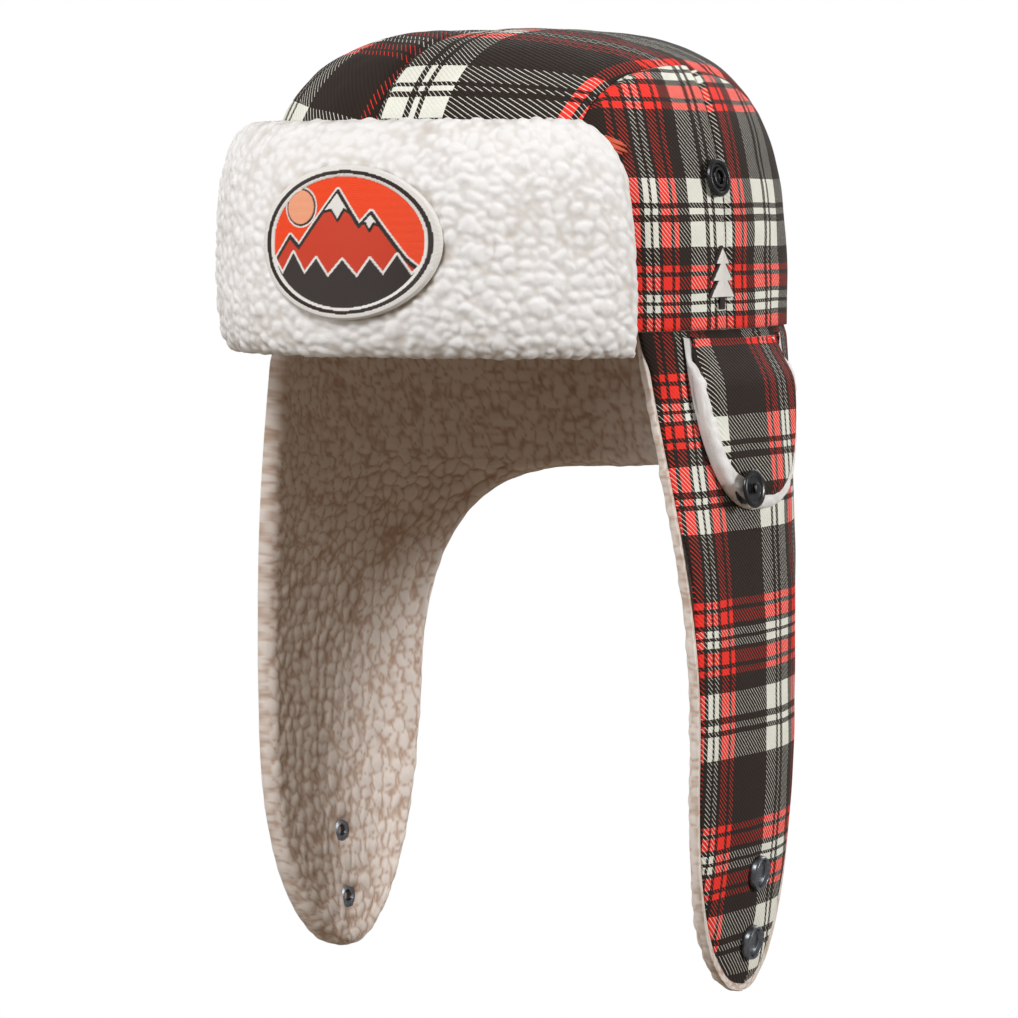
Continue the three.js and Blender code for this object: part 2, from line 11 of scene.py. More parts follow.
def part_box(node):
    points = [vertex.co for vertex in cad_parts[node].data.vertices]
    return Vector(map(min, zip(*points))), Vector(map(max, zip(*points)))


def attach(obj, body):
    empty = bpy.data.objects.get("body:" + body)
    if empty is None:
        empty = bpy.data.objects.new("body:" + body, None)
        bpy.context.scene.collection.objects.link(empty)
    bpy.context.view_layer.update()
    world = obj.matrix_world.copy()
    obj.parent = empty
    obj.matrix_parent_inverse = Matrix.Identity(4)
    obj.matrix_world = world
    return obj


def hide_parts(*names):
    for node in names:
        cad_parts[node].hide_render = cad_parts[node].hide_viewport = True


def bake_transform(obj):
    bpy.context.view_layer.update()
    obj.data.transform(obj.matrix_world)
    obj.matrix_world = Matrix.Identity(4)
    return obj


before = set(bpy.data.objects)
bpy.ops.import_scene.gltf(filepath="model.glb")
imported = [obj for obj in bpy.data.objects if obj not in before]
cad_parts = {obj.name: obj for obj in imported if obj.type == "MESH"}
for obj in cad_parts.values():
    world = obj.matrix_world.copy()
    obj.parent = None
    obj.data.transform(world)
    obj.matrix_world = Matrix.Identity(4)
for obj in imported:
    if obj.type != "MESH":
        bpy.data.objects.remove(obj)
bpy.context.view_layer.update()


# ---- Studio ----
# A pale paper floor well below the flaps and a white backdrop all round. Four lamps light the hat: a broad
# one high in front, low ones in front and beside the left ear, and one behind that lights the outline.
VIEW_TURN = math.radians(34)
VIEW_RISE = math.radians(4)
VIEW_DISTANCE = 1.8
LENS = 159.1
AIM = Vector((-0.0053, -0.0036, -0.0736))
LAMP_AIM = Vector((0, 0, -0.07))
FLOOR_HALF = 0.8
FLOOR_Z = -0.5
ROOM_STRENGTH = 0.2
REFLECTED_STRENGTH = 0.4


def linear(hex_colour):
    """An sRGB hex colour as linear red, green, blue and alpha."""
    parts = [int(hex_colour[i:i + 2], 16) / 255 for i in (0, 2, 4)]
    return [c / 12.92 if c <= 0.04045 else ((c + 0.055) / 1.055) ** 2.4 for c in parts] + [1.0]


def add_node(tree, kind, links=(), **settings):
    """Adds a node. Settings are its properties or inputs by name; links are (input, socket) pairs."""
    node = tree.nodes.new(kind)
    for name, value in settings.items():
        if hasattr(node, name):
            setattr(node, name, value)
        else:
            node.inputs[name.replace("_", " ")].default_value = value
    for target, source in links:
        tree.links.new(source, node.inputs[target])
    return node


def new_material(name):
    """A new material with one principled shader: the material, its node tree and the shader."""
    made = bpy.data.materials.new(name)
    made.use_nodes = True
    tree = made.node_tree
    tree.nodes.clear()
    shader = add_node(tree, "ShaderNodeBsdfPrincipled")
    add_node(tree, "ShaderNodeOutputMaterial", [("Surface", shader.outputs[0])])
    return made, tree, shader


back = Vector((
    math.sin(VIEW_TURN) * math.cos(VIEW_RISE), -math.cos(VIEW_TURN) * math.cos(VIEW_RISE),
    math.sin(VIEW_RISE)))
camera_data = bpy.data.cameras.new("studio_camera")
camera_data.lens = LENS
camera_data.clip_end = 20
camera = bpy.data.objects.new("studio_camera", camera_data)
bpy.context.collection.objects.link(camera)
camera.location = AIM + back * VIEW_DISTANCE
camera.rotation_euler = back.to_track_quat("Z", "Y").to_euler()
bpy.context.scene.camera = camera

# Matt paper: even and nearly white, with the faintest tooth.
paper, paper_tree, paper_shader = new_material("white_backdrop_paper")
paper_shader.inputs["Base Color"].default_value = linear("f4f3f1")
paper_shader.inputs["Roughness"].default_value = 0.95
grain = add_node(paper_tree, "ShaderNodeTexNoise", Scale=180.0)
paper_bump = add_node(
    paper_tree, "ShaderNodeBump", [("Height", grain.outputs[0])], Strength=0.03, Distance=0.001)
paper_tree.links.new(paper_bump.outputs[0], paper_shader.inputs["Normal"])
floor_mesh = bpy.data.meshes.new("studio_floor")
floor_mesh.from_pydata(
    [(x * FLOOR_HALF, y * FLOOR_HALF, FLOOR_Z) for x, y in ((-1, -1), (1, -1), (1, 1), (-1, 1))], [],
    [(0, 1, 2, 3)])
floor = bpy.data.objects.new("studio_floor", floor_mesh)
floor.data.materials.append(paper)
bpy.context.collection.objects.link(floor)
floor.visible_diffuse = False
floor.visible_glossy = False

# The room gives a dim warm light, shines pale in the metal, and is itself seen as plain white.
world = bpy.data.worlds.new("white_studio")
bpy.context.scene.world = world
world.use_nodes = True
room = world.node_tree
room_light = room.nodes["Background"]
room_light.inputs[0].default_value = linear("ffe6c8")
room_light.inputs[1].default_value = ROOM_STRENGTH
seen_white = add_node(room, "ShaderNodeBackground", Color=linear("ffffff"), Strength=1.0)
reflected_white = add_node(
    room, "ShaderNodeBackground", Color=linear("ffffff"), Strength=REFLECTED_STRENGTH)
ray = add_node(room, "ShaderNodeLightPath")
unseen_mix = add_node(
    room, "ShaderNodeMixShader",
    [(0, ray.outputs["Is Glossy Ray"]), (1, room_light.outputs[0]), (2, reflected_white.outputs[0])])
room_mix = add_node(
    room, "ShaderNodeMixShader",
    [(0, ray.outputs["Is Camera Ray"]), (1, unseen_mix.outputs[0]), (2, seen_white.outputs[0])])
room.links.new(room_mix.outputs[0], room.nodes["World Output"].inputs[0])
bpy.context.scene.view_settings.view_transform = "Standard"


def add_lamp(name, turn, rise, distance, size, power):
    """A square lamp aimed at the hat, turn degrees round from the front and rise degrees up."""
    data = bpy.data.lights.new(name, "AREA")
    data.color = linear("fdfeff")[:3]
    data.size = size
    data.energy = power
    lamp = bpy.data.objects.new(name, data)
    a, e = math.radians(turn), math.radians(rise)
    way = Vector((math.sin(a) * math.cos(e), -math.cos(a) * math.cos(e), math.sin(e)))
    lamp.location = LAMP_AIM + way * distance
    lamp.rotation_euler = way.to_track_quat("Z", "Y").to_euler()
    bpy.context.collection.objects.link(lamp)


add_lamp("key_lamp", turn=6, rise=42, distance=1.7, size=0.6, power=18.5)
add_lamp("front_lamp", turn=-32, rise=6, distance=1.7, size=0.6, power=7)
add_lamp("side_lamp", turn=104, rise=12, distance=1.6, size=0.3, power=16)
add_lamp("rear_lamp", turn=190, rise=30, distance=1.6, size=0.8, power=8)


# ---- Crown shell ----
# Six panels of brushed cotton twill in one plaid, sewn edge to edge with the seam allowances pressed
# under. The cloth is about 1.2 mm thick with its nap, and dips into each seam.
side_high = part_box("left_crown_front_panel")[1]
centre_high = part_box("left_crown_centre_panel")[1]
CROWN_HALF_WIDTH = side_high[0] * 1000
CROWN_HALF_LENGTH = centre_high[1] * 1000
CROWN_HEIGHT = centre_high[2] * 1000
# The crown's outline from above and from the side are rounded ovals with these powers.
PLAN_POWER = 2.3
PROFILE_POWER = 3.4
ARCH_SEAM_X = centre_high[0] * 1000 + 0.15
CROWN_FOOT = 0.1
TWILL_THICKNESS = 1.2
SEAM_DIP = 1.5
SEAM_WIDTH = 2.6
# Over the top of the head the centre seam lies in a wider valley.
VALLEY_DEPTH = 1.6
VALLEY_WIDTH = 7.0
# The seam over each ear leans back near its top, from this share of the crown's height.
LEAN_FROM = 0.55
LEAN = 16.0

# The plaid's stripes in millimetres of cloth, the same across and along.
STRIPES = [
    ("red", 2.7), ("brown", 1.8), ("red", 4.7), ("brown", 2.1), ("cream", 2.7), ("brown", 1.5),
    ("cream", 2.7), ("brown", 1.8), ("red", 4.7), ("brown", 1.8), ("red", 2.7), ("brown", 6.9),
    ("cream", 9.6), ("brown", 2.7), ("cream", 2.4), ("brown", 2.1), ("cream", 9.6), ("brown", 26.5),
]
YARNS = {"red": linear("f8352a"), "brown": linear("271c16"), "cream": linear("eceee4")}
SETT = sum(width for _, width in STRIPES)
# Real twill lines are about 1 mm apart. They are drawn a little coarser, so that they show.
TWILL_LINE = 1.4
# The centre panels are cut on the stretch: how much narrower the cloth lies than the panel.
STRETCH = 0.8
EASED_FROM = 28.0
EASE = 0.64
# Where the plaid starts on the side panels, forwards and upwards.
FRONT_CLOTH_START = 61.6
REAR_CLOTH_START = 15.0
SIDE_CLOTH_RISE = 4.5


def plan_point(turn, half_width, half_length):
    """A point of the outline seen from above, turn in degrees round from the front to the left."""
    s, c = np.sin(np.radians(turn)), np.cos(np.radians(turn))
    x = half_width * np.sign(s) * np.abs(s) ** (2 / PLAN_POWER)
    y = -half_length * np.sign(c) * np.abs(c) ** (2 / PLAN_POWER)
    return x, y


def crown_share(z):
    """The crown's outline at a height, as a share of its outline at the foot."""
    return (1 - np.clip(np.maximum(z, 0) / CROWN_HEIGHT, 0, 0.9999) ** PROFILE_POWER) ** (1 / PROFILE_POWER)


def crown_point(turn, z, off):
    """A point off millimetres outside the crown, at a turn round it and a height."""
    share = crown_share(z)
    x, y = plan_point(turn, CROWN_HALF_WIDTH * share + off, CROWN_HALF_LENGTH * share + off)
    return np.stack([x, y, z + 0 * x], -1)


def grid_normals(points):
    """The way out of a grid of points, for rows going round and columns going up or the reverse."""
    down, across = np.gradient(points, axis=0), np.gradient(points, axis=1)
    normal = np.cross(across, down)
    return normal / np.maximum(np.linalg.norm(normal, axis=-1, keepdims=True), 1e-9)


def facing(points, normal, centre):
    """Turns normals so that they mostly point away from a centre."""
    return normal if np.sum(normal * (points - centre)) > 0 else -normal


def soft_noise(points, scale, seed):
    """Smooth noise from -1 to 1 over points in millimetres, as a sum of plane waves."""
    draw = np.random.default_rng(seed)
    total = np.zeros(points.shape[:-1])
    for _ in range(14):
        way = draw.normal(size=3)
        way *= 2 * math.pi / (scale * draw.uniform(0.7, 1.6)) / np.linalg.norm(way)
        total += np.sin(points @ way + draw.uniform(0, 2 * math.pi))
    return total / 5


def wall_mesh(name, outer, inner, **marks):
    """One closed piece between two grids of points in millimetres, with values marked on its points."""
    rows, columns = outer.shape[:2]
    points = np.concatenate([outer.reshape(-1, 3), inner.reshape(-1, 3)]) / 1000
    at = np.arange(rows * columns).reshape(rows, columns)
    a, b, c, d = at[:-1, :-1], at[:-1, 1:], at[1:, 1:], at[1:, :-1]
    front = np.stack([a, b, c, d], -1).reshape(-1, 4)
    rim = np.concatenate([at[0, :-1], at[:-1, -1], at[-1, :0:-1], at[:0:-1, 0]])
    ahead = np.roll(rim, -1)
    side = np.stack([ahead, rim, rim + at.size, ahead + at.size], -1)
    faces = np.concatenate([front, front[:, ::-1] + at.size, side])
    mesh = bpy.data.meshes.new(name)
    mesh.from_pydata(points.tolist(), [], faces.tolist())
    kinds = {1: ("FLOAT", "value"), 2: ("FLOAT2", "vector"), 3: ("FLOAT_VECTOR", "vector"),
             4: ("FLOAT_COLOR", "color")}
    for title, values in marks.items():
        kind, field = kinds[values.size // at.size]
        layer = mesh.attributes.new(title, kind, "POINT")
        layer.data.foreach_set(field, np.concatenate([values.ravel()] * 2).astype(np.float32))
    closed = bmesh.new()
    closed.from_mesh(mesh)
    bmesh.ops.remove_doubles(closed, verts=closed.verts, dist=1e-6)
    bmesh.ops.recalc_face_normals(closed, faces=closed.faces)
    closed.to_mesh(mesh)
    closed.free()
    mesh.shade_smooth()
    piece = bpy.data.objects.new(name, mesh)
    bpy.context.collection.objects.link(piece)
    return piece


def plaid_twill(name):
    """Brushed cotton twill: matt, fibrous, two plaid yarn systems showing in turn along fine diagonals."""
    made, tree, shader = new_material(name)
    cloth = add_node(tree, "ShaderNodeAttribute", attribute_name="cloth")
    # The weave wavers by up to 0.8 mm over about 30 mm, as cut and sewn cloth does.
    waver = add_node(tree, "ShaderNodeTexNoise", [("Vector", cloth.outputs["Vector"])], Scale=0.03)
    shift = add_node(
        tree, "ShaderNodeVectorMath", [(0, waver.outputs["Color"])], operation="MULTIPLY_ADD")
    shift.inputs[1].default_value = (1.6, 1.6, 0)
    shift.inputs[2].default_value = (-0.8, -0.8, 0)
    moved = add_node(
        tree, "ShaderNodeVectorMath", [(0, cloth.outputs["Vector"]), (1, shift.outputs[0])],
        operation="ADD")
    parts = add_node(tree, "ShaderNodeSeparateXYZ", [(0, moved.outputs[0])])

    def yarns(axis):
        turns = add_node(
            tree, "ShaderNodeMath", [(0, parts.outputs[axis])], operation="MULTIPLY")
        turns.inputs[1].default_value = 1 / SETT
        share = add_node(tree, "ShaderNodeMath", [(0, turns.outputs[0])], operation="FRACT")
        ramp = add_node(tree, "ShaderNodeValToRGB", [(0, share.outputs[0])])
        ramp.color_ramp.interpolation = "CONSTANT"
        start = 0
        for i, (yarn, width) in enumerate(STRIPES):
            stops = ramp.color_ramp.elements
            stop = stops[0] if i == 0 else stops[1] if i == 1 else stops.new(start / SETT)
            stop.position = start / SETT
            stop.color = YARNS[yarn]
            start += width
        return ramp

    across, along = yarns("X"), yarns("Y")
    # Twill lines rise to the right at 45 degrees: one yarn floats over the other along each line.
    diagonal = add_node(
        tree, "ShaderNodeMath", [(0, parts.outputs["X"]), (1, parts.outputs["Y"])], operation="ADD")
    phase = add_node(tree, "ShaderNodeMath", [(0, diagonal.outputs[0])], operation="MULTIPLY")
    phase.inputs[1].default_value = 2 * math.pi / (TWILL_LINE * math.sqrt(2))
    wave = add_node(tree, "ShaderNodeMath", [(0, phase.outputs[0])], operation="SINE")
    fibre = add_node(tree, "ShaderNodeTexNoise", [("Vector", moved.outputs[0])], Scale=1.6, Detail=3.0)
    ragged = add_node(
        tree, "ShaderNodeMath", [(0, fibre.outputs[0]), (2, wave.outputs[0])], operation="MULTIPLY_ADD")
    ragged.inputs[1].default_value = 0.4
    # The darker yarn takes most of each crossing, as painted shade: the crossings are darkened for the
    # shadow in the weave.
    paler = add_node(
        tree, "ShaderNodeMath", [(0, along.outputs[0]), (1, across.outputs[0])], operation="SUBTRACT")
    swell = add_node(tree, "ShaderNodeMapRange", [("Value", paler.outputs[0])])
    swell.inputs["From Min"].default_value = -0.12
    swell.inputs["From Max"].default_value = 0.12
    swell.inputs["To Min"].default_value = -0.88
    swell.inputs["To Max"].default_value = 0.88
    lifted = add_node(
        tree, "ShaderNodeMath", [(0, ragged.outputs[0]), (1, swell.outputs[0])], operation="ADD")
    over = add_node(tree, "ShaderNodeMapRange", [("Value", lifted.outputs[0])])
    over.inputs["From Min"].default_value = 0.08
    over.inputs["From Max"].default_value = 0.32
    woven = add_node(
        tree, "ShaderNodeMix",
        [(0, over.outputs[0]), (6, along.outputs[0]), (7, across.outputs[0])], data_type="RGBA")
    # Nap and wear: the colour is a little uneven over the cloth, and paler where the nap catches light.
    cloudy = add_node(tree, "ShaderNodeTexNoise", [("Vector", moved.outputs[0])], Scale=0.12, Detail=4.0)
    tone = add_node(tree, "ShaderNodeMapRange", [("Value", cloudy.outputs[0])])
    tone.inputs["To Min"].default_value = 0.86
    tone.inputs["To Max"].default_value = 1.1
    speck = add_node(tree, "ShaderNodeMapRange", [("Value", fibre.outputs[0])])
    speck.inputs["To Min"].default_value = 0.84
    speck.inputs["To Max"].default_value = 1.16
    both = add_node(
        tree, "ShaderNodeMath", [(0, tone.outputs[0]), (1, speck.outputs[0])], operation="MULTIPLY")
    worn = add_node(
        tree, "ShaderNodeVectorMath", [(0, woven.outputs[2]), ("Scale", both.outputs[0])],
        operation="SCALE")
    tree.links.new(worn.outputs[0], shader.inputs["Base Color"])
    bump = add_node(
        tree, "ShaderNodeBump", [("Height", ragged.outputs[0])], Strength=0.35, Distance=0.00035)
    tree.links.new(bump.outputs[0], shader.inputs["Normal"])
    shader.inputs["Roughness"].default_value = 0.88
    shader.inputs["Specular IOR Level"].default_value = 0.2
    shader.inputs["Sheen Weight"].default_value = 0.06
    shader.inputs["Sheen Roughness"].default_value = 0.6
    return made


twill = plaid_twill("brushed_cotton_twill")


def twill_piece(name, outer, cloth, dip, nodes, centre=(0, 0, 0), seed=1, ripple=0.35):
    """A panel of twill: its outer face dips by dip millimetres (a grid) and ripples a little."""
    normal = facing(outer, grid_normals(outer), np.array(centre))
    ripples = ripple * soft_noise(outer, 34, seed) + 0.4 * ripple * soft_noise(outer, 13, seed + 50)
    face = outer + normal * (ripples - dip)[..., None]
    piece = wall_mesh(name, face, face - normal * TWILL_THICKNESS, cloth=cloth)
    piece.data.materials.append(twill)
    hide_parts(*nodes)
    return piece


def slice_reach(x, angle):
    """How far the crown's outline at a side distance x reaches along each angle from front to back."""
    low, high = np.zeros_like(angle + x), np.full_like(angle + x, 1.2)
    for _ in range(40):
        middle = (low + high) / 2
        plan = (np.abs(x / CROWN_HALF_WIDTH) ** PLAN_POWER
                + np.abs(middle * np.cos(angle)) ** PLAN_POWER) ** (PROFILE_POWER / PLAN_POWER)
        inside = plan + (middle * np.sin(angle)) ** PROFILE_POWER < 1
        low, high = np.where(inside, middle, low), np.where(inside, high, middle)
    return low


def seam_dip(*distances):
    """How far cloth dips at these distances from its seams."""
    return sum(SEAM_DIP * np.exp(-(d / SEAM_WIDTH) ** 2) for d in distances)


def arc_lengths(points, axis):
    """The length run along one axis of a grid, from its first row."""
    steps = np.linalg.norm(np.diff(points, axis=axis), axis=-1)
    first = np.zeros_like(np.take(steps, [0], axis=axis))
    return np.concatenate([first, np.cumsum(steps, axis=axis)], axis=axis)


def turned_cloth(cloth, degrees, shift):
    """Cloth turned and shifted in its own plane."""
    a = math.radians(degrees)
    turn = np.array([[math.cos(a), math.sin(a)], [-math.sin(a), math.cos(a)]])
    return cloth @ turn + np.array(shift)


crown_pieces = {}
# Each side's plaid has its own turn and start, because each panel was cut from another place.
for side, sign, angle_of_cloth, cloth_shift in (
    ("left", 1, 0, (34, 43)), ("right", -1, 12, (108.2, 0)),
):
    across = np.linspace(0.05, ARCH_SEAM_X - 0.05, 64)[:, None]
    angle = np.linspace(0, math.pi, 200)[None, :]
    reach = slice_reach(across, angle)
    y = -reach * np.cos(angle) * CROWN_HALF_LENGTH
    z = reach * np.sin(angle) * CROWN_HEIGHT
    z = np.maximum(z, CROWN_FOOT)
    panel = np.stack([sign * across + 0 * y, y, z], -1)
    width = arc_lengths(panel, 0)
    length = arc_lengths(panel, 1)
    # The left panel's cloth is eased in towards its arched seam, the right one's all over.
    eased = np.where(width < EASED_FROM, width, EASED_FROM + (width - EASED_FROM) * EASE)
    wide = eased if side == "left" else width * STRETCH
    length = length if side == "left" else length * STRETCH
    cloth = turned_cloth(np.stack([sign * wide, length], -1), angle_of_cloth, cloth_shift)
    valley = VALLEY_DEPTH * np.exp(-(width / VALLEY_WIDTH) ** 2) * np.sin(angle) ** 4
    valley = valley + seam_dip(width, width[-1:] - width)
    crown_pieces[f"{side}_centre"] = twill_piece(
        f"{side}_crown_centre_cloth", panel, cloth, valley, [f"{side}_crown_centre_panel"],
        seed=3 + sign)

    top_share = slice_reach(np.array([ARCH_SEAM_X]), np.array([math.pi / 2]))[0]
    rows = top_share * CROWN_HEIGHT * np.sin(np.linspace(0, math.pi / 2, 90))
    flat = (1 - np.clip(rows / CROWN_HEIGHT, 0, 1) ** PROFILE_POWER) ** (PLAN_POWER / PROFILE_POWER)
    arch = CROWN_HALF_LENGTH * np.clip(
        flat - (ARCH_SEAM_X / CROWN_HALF_WIDTH) ** PLAN_POWER, 0, 1) ** (1 / PLAN_POWER)
    lean = LEAN * np.clip((rows / CROWN_HEIGHT - LEAN_FROM) / 0.4, 0, None) ** 2
    lean = np.minimum(lean, arch)
    for part, start, end in (("front", -arch, lean), ("rear", lean, arch)):
        share = np.linspace(0, 1, 70)[None, :]
        y = start[:, None] + (end - start)[:, None] * share
        z = rows[:, None] + 0 * y
        rest = np.clip(flat[:, None] - np.abs(y / CROWN_HALF_LENGTH) ** PLAN_POWER, 0, 1)
        x = np.maximum(CROWN_HALF_WIDTH * rest ** (1 / PLAN_POWER), ARCH_SEAM_X)
        panel = np.stack([sign * x, y, z + CROWN_FOOT], -1)
        forward = arc_lengths(panel, 1)
        forward = forward[:, -1:] - forward if part == "front" else -forward
        cloth_start = FRONT_CLOTH_START if part == "front" else REAR_CLOTH_START
        cloth = np.stack([cloth_start - forward, z + SIDE_CLOTH_RISE], -1)
        edge = np.abs(y - (end if part == "front" else start)[:, None])
        curve = np.abs(y - (start if part == "front" else end)[:, None])
        arch_gap = np.minimum(curve, (x - ARCH_SEAM_X) * 1.2 + 0.3 * curve)
        crown_pieces[f"{side}_{part}"] = twill_piece(
            f"{side}_crown_{part}_cloth", panel, cloth, seam_dip(edge, arch_gap),
            [f"{side}_crown_{part}_panel"], seed=11 + sign)
for piece in crown_pieces.values():
    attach(piece, "crown")


# ---- Crown lining ----
# Pile fleece in three pieces under the shell: short polyester curls, felted into lumps 4 to 6 mm across,
# on a knitted back. It is about 6 mm thick, is sewn to the shell and rounds off at each seam.
PILE_CELL = 5.4
PILE_RELIEF = 1.6
# Where the lining's back and face lie, outwards from the crown's outside.
LINING_BACK = -1.8
LINING_FACE = -7.2
LINING_FOOT = 0.4
# How much of the lining's colour is painted shade in its creases alone, and how pale it is between them.
CREASE_SHADE_SHARE = 0.75
CREASE_CLEAR = 0.62


def cell_draw(cells, seed):
    """Three even random numbers for each integer cell, the same on every run."""
    mixed = cells.astype(np.int64) @ np.array([73856093, 19349663, 83492791]) + seed * 2654435
    draws = []
    for salt in (1, 2, 3):
        value = (mixed * (salt * 2 + 1) + salt * 40503) & 0xFFFFFFFF
        value = ((value ^ (value >> 15)) * 2246822519) & 0xFFFFFFFF
        value = ((value ^ (value >> 13)) * 3266489917) & 0xFFFFFFFF
        draws.append(((value ^ (value >> 16)) & 0xFFFFFF) / 0xFFFFFF)
    return np.stack(draws, -1)


def lumps(points, cell, seed):
    """Distances to the nearest and next lump centre, in cells, and a random height for the nearest."""
    place = points.reshape(-1, 3) / cell
    base = np.floor(place)
    near = np.full(len(place), 9.0)
    following = near.copy()
    height = np.zeros(len(place))
    for step in np.ndindex(3, 3, 3):
        cells = base + np.array(step) - 1
        draw = cell_draw(cells, seed)
        gap = np.linalg.norm(cells + 0.1 + 0.8 * draw - place, axis=1)
        closer = gap < near
        following = np.where(closer, near, np.minimum(following, gap))
        height = np.where(closer, draw[:, 0] * 0.6 + draw[:, 2] * 0.4, height)
        near = np.where(closer, gap, near)
    shape = points.shape[:-1]
    return near.reshape(shape), following.reshape(shape), height.reshape(shape)


def pile_relief(points, seed):
    """The height of the curls in millimetres, and 0 to 1 out of the creases between them, which sets where
    the painted crease shade falls.
    """
    bent = points + 0.9 * np.stack([soft_noise(points, 6, seed + k) for k in range(3)], -1)
    near, following, height = lumps(bent, PILE_CELL, seed)
    crease = np.clip((following - near) / 0.5, 0, 1)
    crease = crease * (2 - crease)
    dome = np.clip(1 - (near / 1.15) ** 2, 0, 1) ** 0.6
    near_small, following_small, _ = lumps(bent, PILE_CELL * 0.42, seed + 9)
    knot = np.clip((following_small - near_small) / 0.6, 0, 1)
    knot = knot * (2 - knot)
    swell = 0.35 * soft_noise(points, 30, seed + 4)
    fuzz = 0.05 * soft_noise(points, 2.2, seed + 5)
    rise = crease * dome * (0.5 + 0.5 * height) + 0.16 * knot + 0.25 * swell + fuzz - 0.35
    clear = np.clip((following - near) / 0.34, 0, 1)
    return PILE_RELIEF * rise, clear * (2 - clear) * (0.82 + 0.18 * knot)


def pile_fleece(name, deep, pale):
    """Curly polyester pile: soft, matt and off-white, with painted shade: darker and warmer down in its
    creases and low places.
    """
    made, tree, shader = new_material(name)
    place = add_node(tree, "ShaderNodeTexCoord")
    # Painted shade: the deep colour goes in the creases and low places, the pale one on top of the lumps.
    depth = add_node(tree, "ShaderNodeAttribute", attribute_name="pile")
    ramp = add_node(tree, "ShaderNodeValToRGB", [(0, depth.outputs["Fac"])])
    ramp.color_ramp.elements[0].color = linear(deep)
    ramp.color_ramp.elements[1].color = linear(pale)
    ramp.color_ramp.elements[1].position = 0.55
    patchy = add_node(tree, "ShaderNodeTexNoise", [("Vector", place.outputs["Object"])], Scale=90.0,
                      Detail=3.0)
    shade = add_node(tree, "ShaderNodeMapRange", [("Value", patchy.outputs[0])])
    shade.inputs["To Min"].default_value = 0.93
    shade.inputs["To Max"].default_value = 1.04
    tinted = add_node(
        tree, "ShaderNodeVectorMath", [(0, ramp.outputs[0]), ("Scale", shade.outputs[0])],
        operation="SCALE")
    tree.links.new(tinted.outputs[0], shader.inputs["Base Color"])
    # Single fibres, about 0.1 mm thick, are drawn three times as coarse so that they show.
    curls = add_node(tree, "ShaderNodeTexNoise", [("Vector", place.outputs["Object"])], Scale=1500.0,
                     Detail=4.0, Distortion=1.8)
    bump = add_node(
        tree, "ShaderNodeBump", [("Height", curls.outputs[0])], Strength=0.6, Distance=0.0006)
    tree.links.new(bump.outputs[0], shader.inputs["Normal"])
    shader.inputs["Roughness"].default_value = 1.0
    shader.inputs["Specular IOR Level"].default_value = 0.1
    shader.inputs["Sheen Weight"].default_value = 0.25
    shader.inputs["Sheen Roughness"].default_value = 0.5
    shader.inputs["Subsurface Weight"].default_value = 0.2
    shader.inputs["Subsurface Radius"].default_value = (0.004, 0.0035, 0.003)
    shader.inputs["Subsurface Scale"].default_value = 0.6
    return made


fleece = pile_fleece("curly_pile_fleece", "d5cec6", "f7f7f8")
# The lining's pile is painted warmer and its deep colour browner, as painted shade for the dim warm shadow
# inside the hat.
lining_fleece = pile_fleece("pile_lining_painted_shade", "b8947a", "f2e8e1")


def pile_piece(name, face, back_face, out, seed, nodes, flatten=0, relief_rim=None, pile=fleece):
    """A piece of fleece: its pile face is lumped along out, and its back is flat."""
    relief, clear = pile_relief(face, seed)
    relief = relief - flatten
    if relief_rim is not None:
        relief = relief * relief_rim
    # The fibres round every lump off: each height is evened out with its neighbours'.
    for _ in range(2):
        relief[1:-1] = (relief[:-2] + 2 * relief[1:-1] + relief[2:]) / 4
        relief[:, 1:-1] = (relief[:, :-2] + 2 * relief[:, 1:-1] + relief[:, 2:]) / 4
    # Painted shade: the visor's colour follows its height, darker in the low places between the lumps. The
    # lining's longer pile hides all but its creases, so its painted shade lies mostly in them.
    crease_shade = CREASE_SHADE_SHARE if pile is lining_fleece else 0.0
    height = np.clip(relief / PILE_RELIEF + 0.45, 0, 1)
    depth = (1 - crease_shade) * height + crease_shade * CREASE_CLEAR * clear
    piece = wall_mesh(name, face + out * relief[..., None], back_face, pile=depth)
    piece.data.materials.append(pile)
    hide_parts(*nodes)
    return piece


def rounded(*distances, radius=4.0):
    """From 0 at an edge to 1 inside, as a quarter circle of this radius."""
    nearest = np.minimum.reduce([np.broadcast_to(d, np.broadcast(*distances).shape) for d in distances])
    return np.sqrt(np.clip(1 - (1 - np.clip(nearest / radius, 0, 1)) ** 2, 0, 1))


def crown_slice(x, angle, off):
    """A grid on the crown's face moved by off, for a column of x and a row of angles front to back."""
    scale = (CROWN_HALF_WIDTH + off) / CROWN_HALF_WIDTH
    reach = slice_reach(np.abs(x) / scale, angle)
    y = -reach * np.cos(angle) * (CROWN_HALF_LENGTH + off)
    z = reach * np.sin(angle) * (CROWN_HEIGHT + off)
    return np.stack([x + 0 * y, y, z], -1)


across = np.linspace(-ARCH_SEAM_X + 0.3, ARCH_SEAM_X - 0.3, 120)[:, None]
angle = np.linspace(0.004, math.pi - 0.004, 230)[None, :]
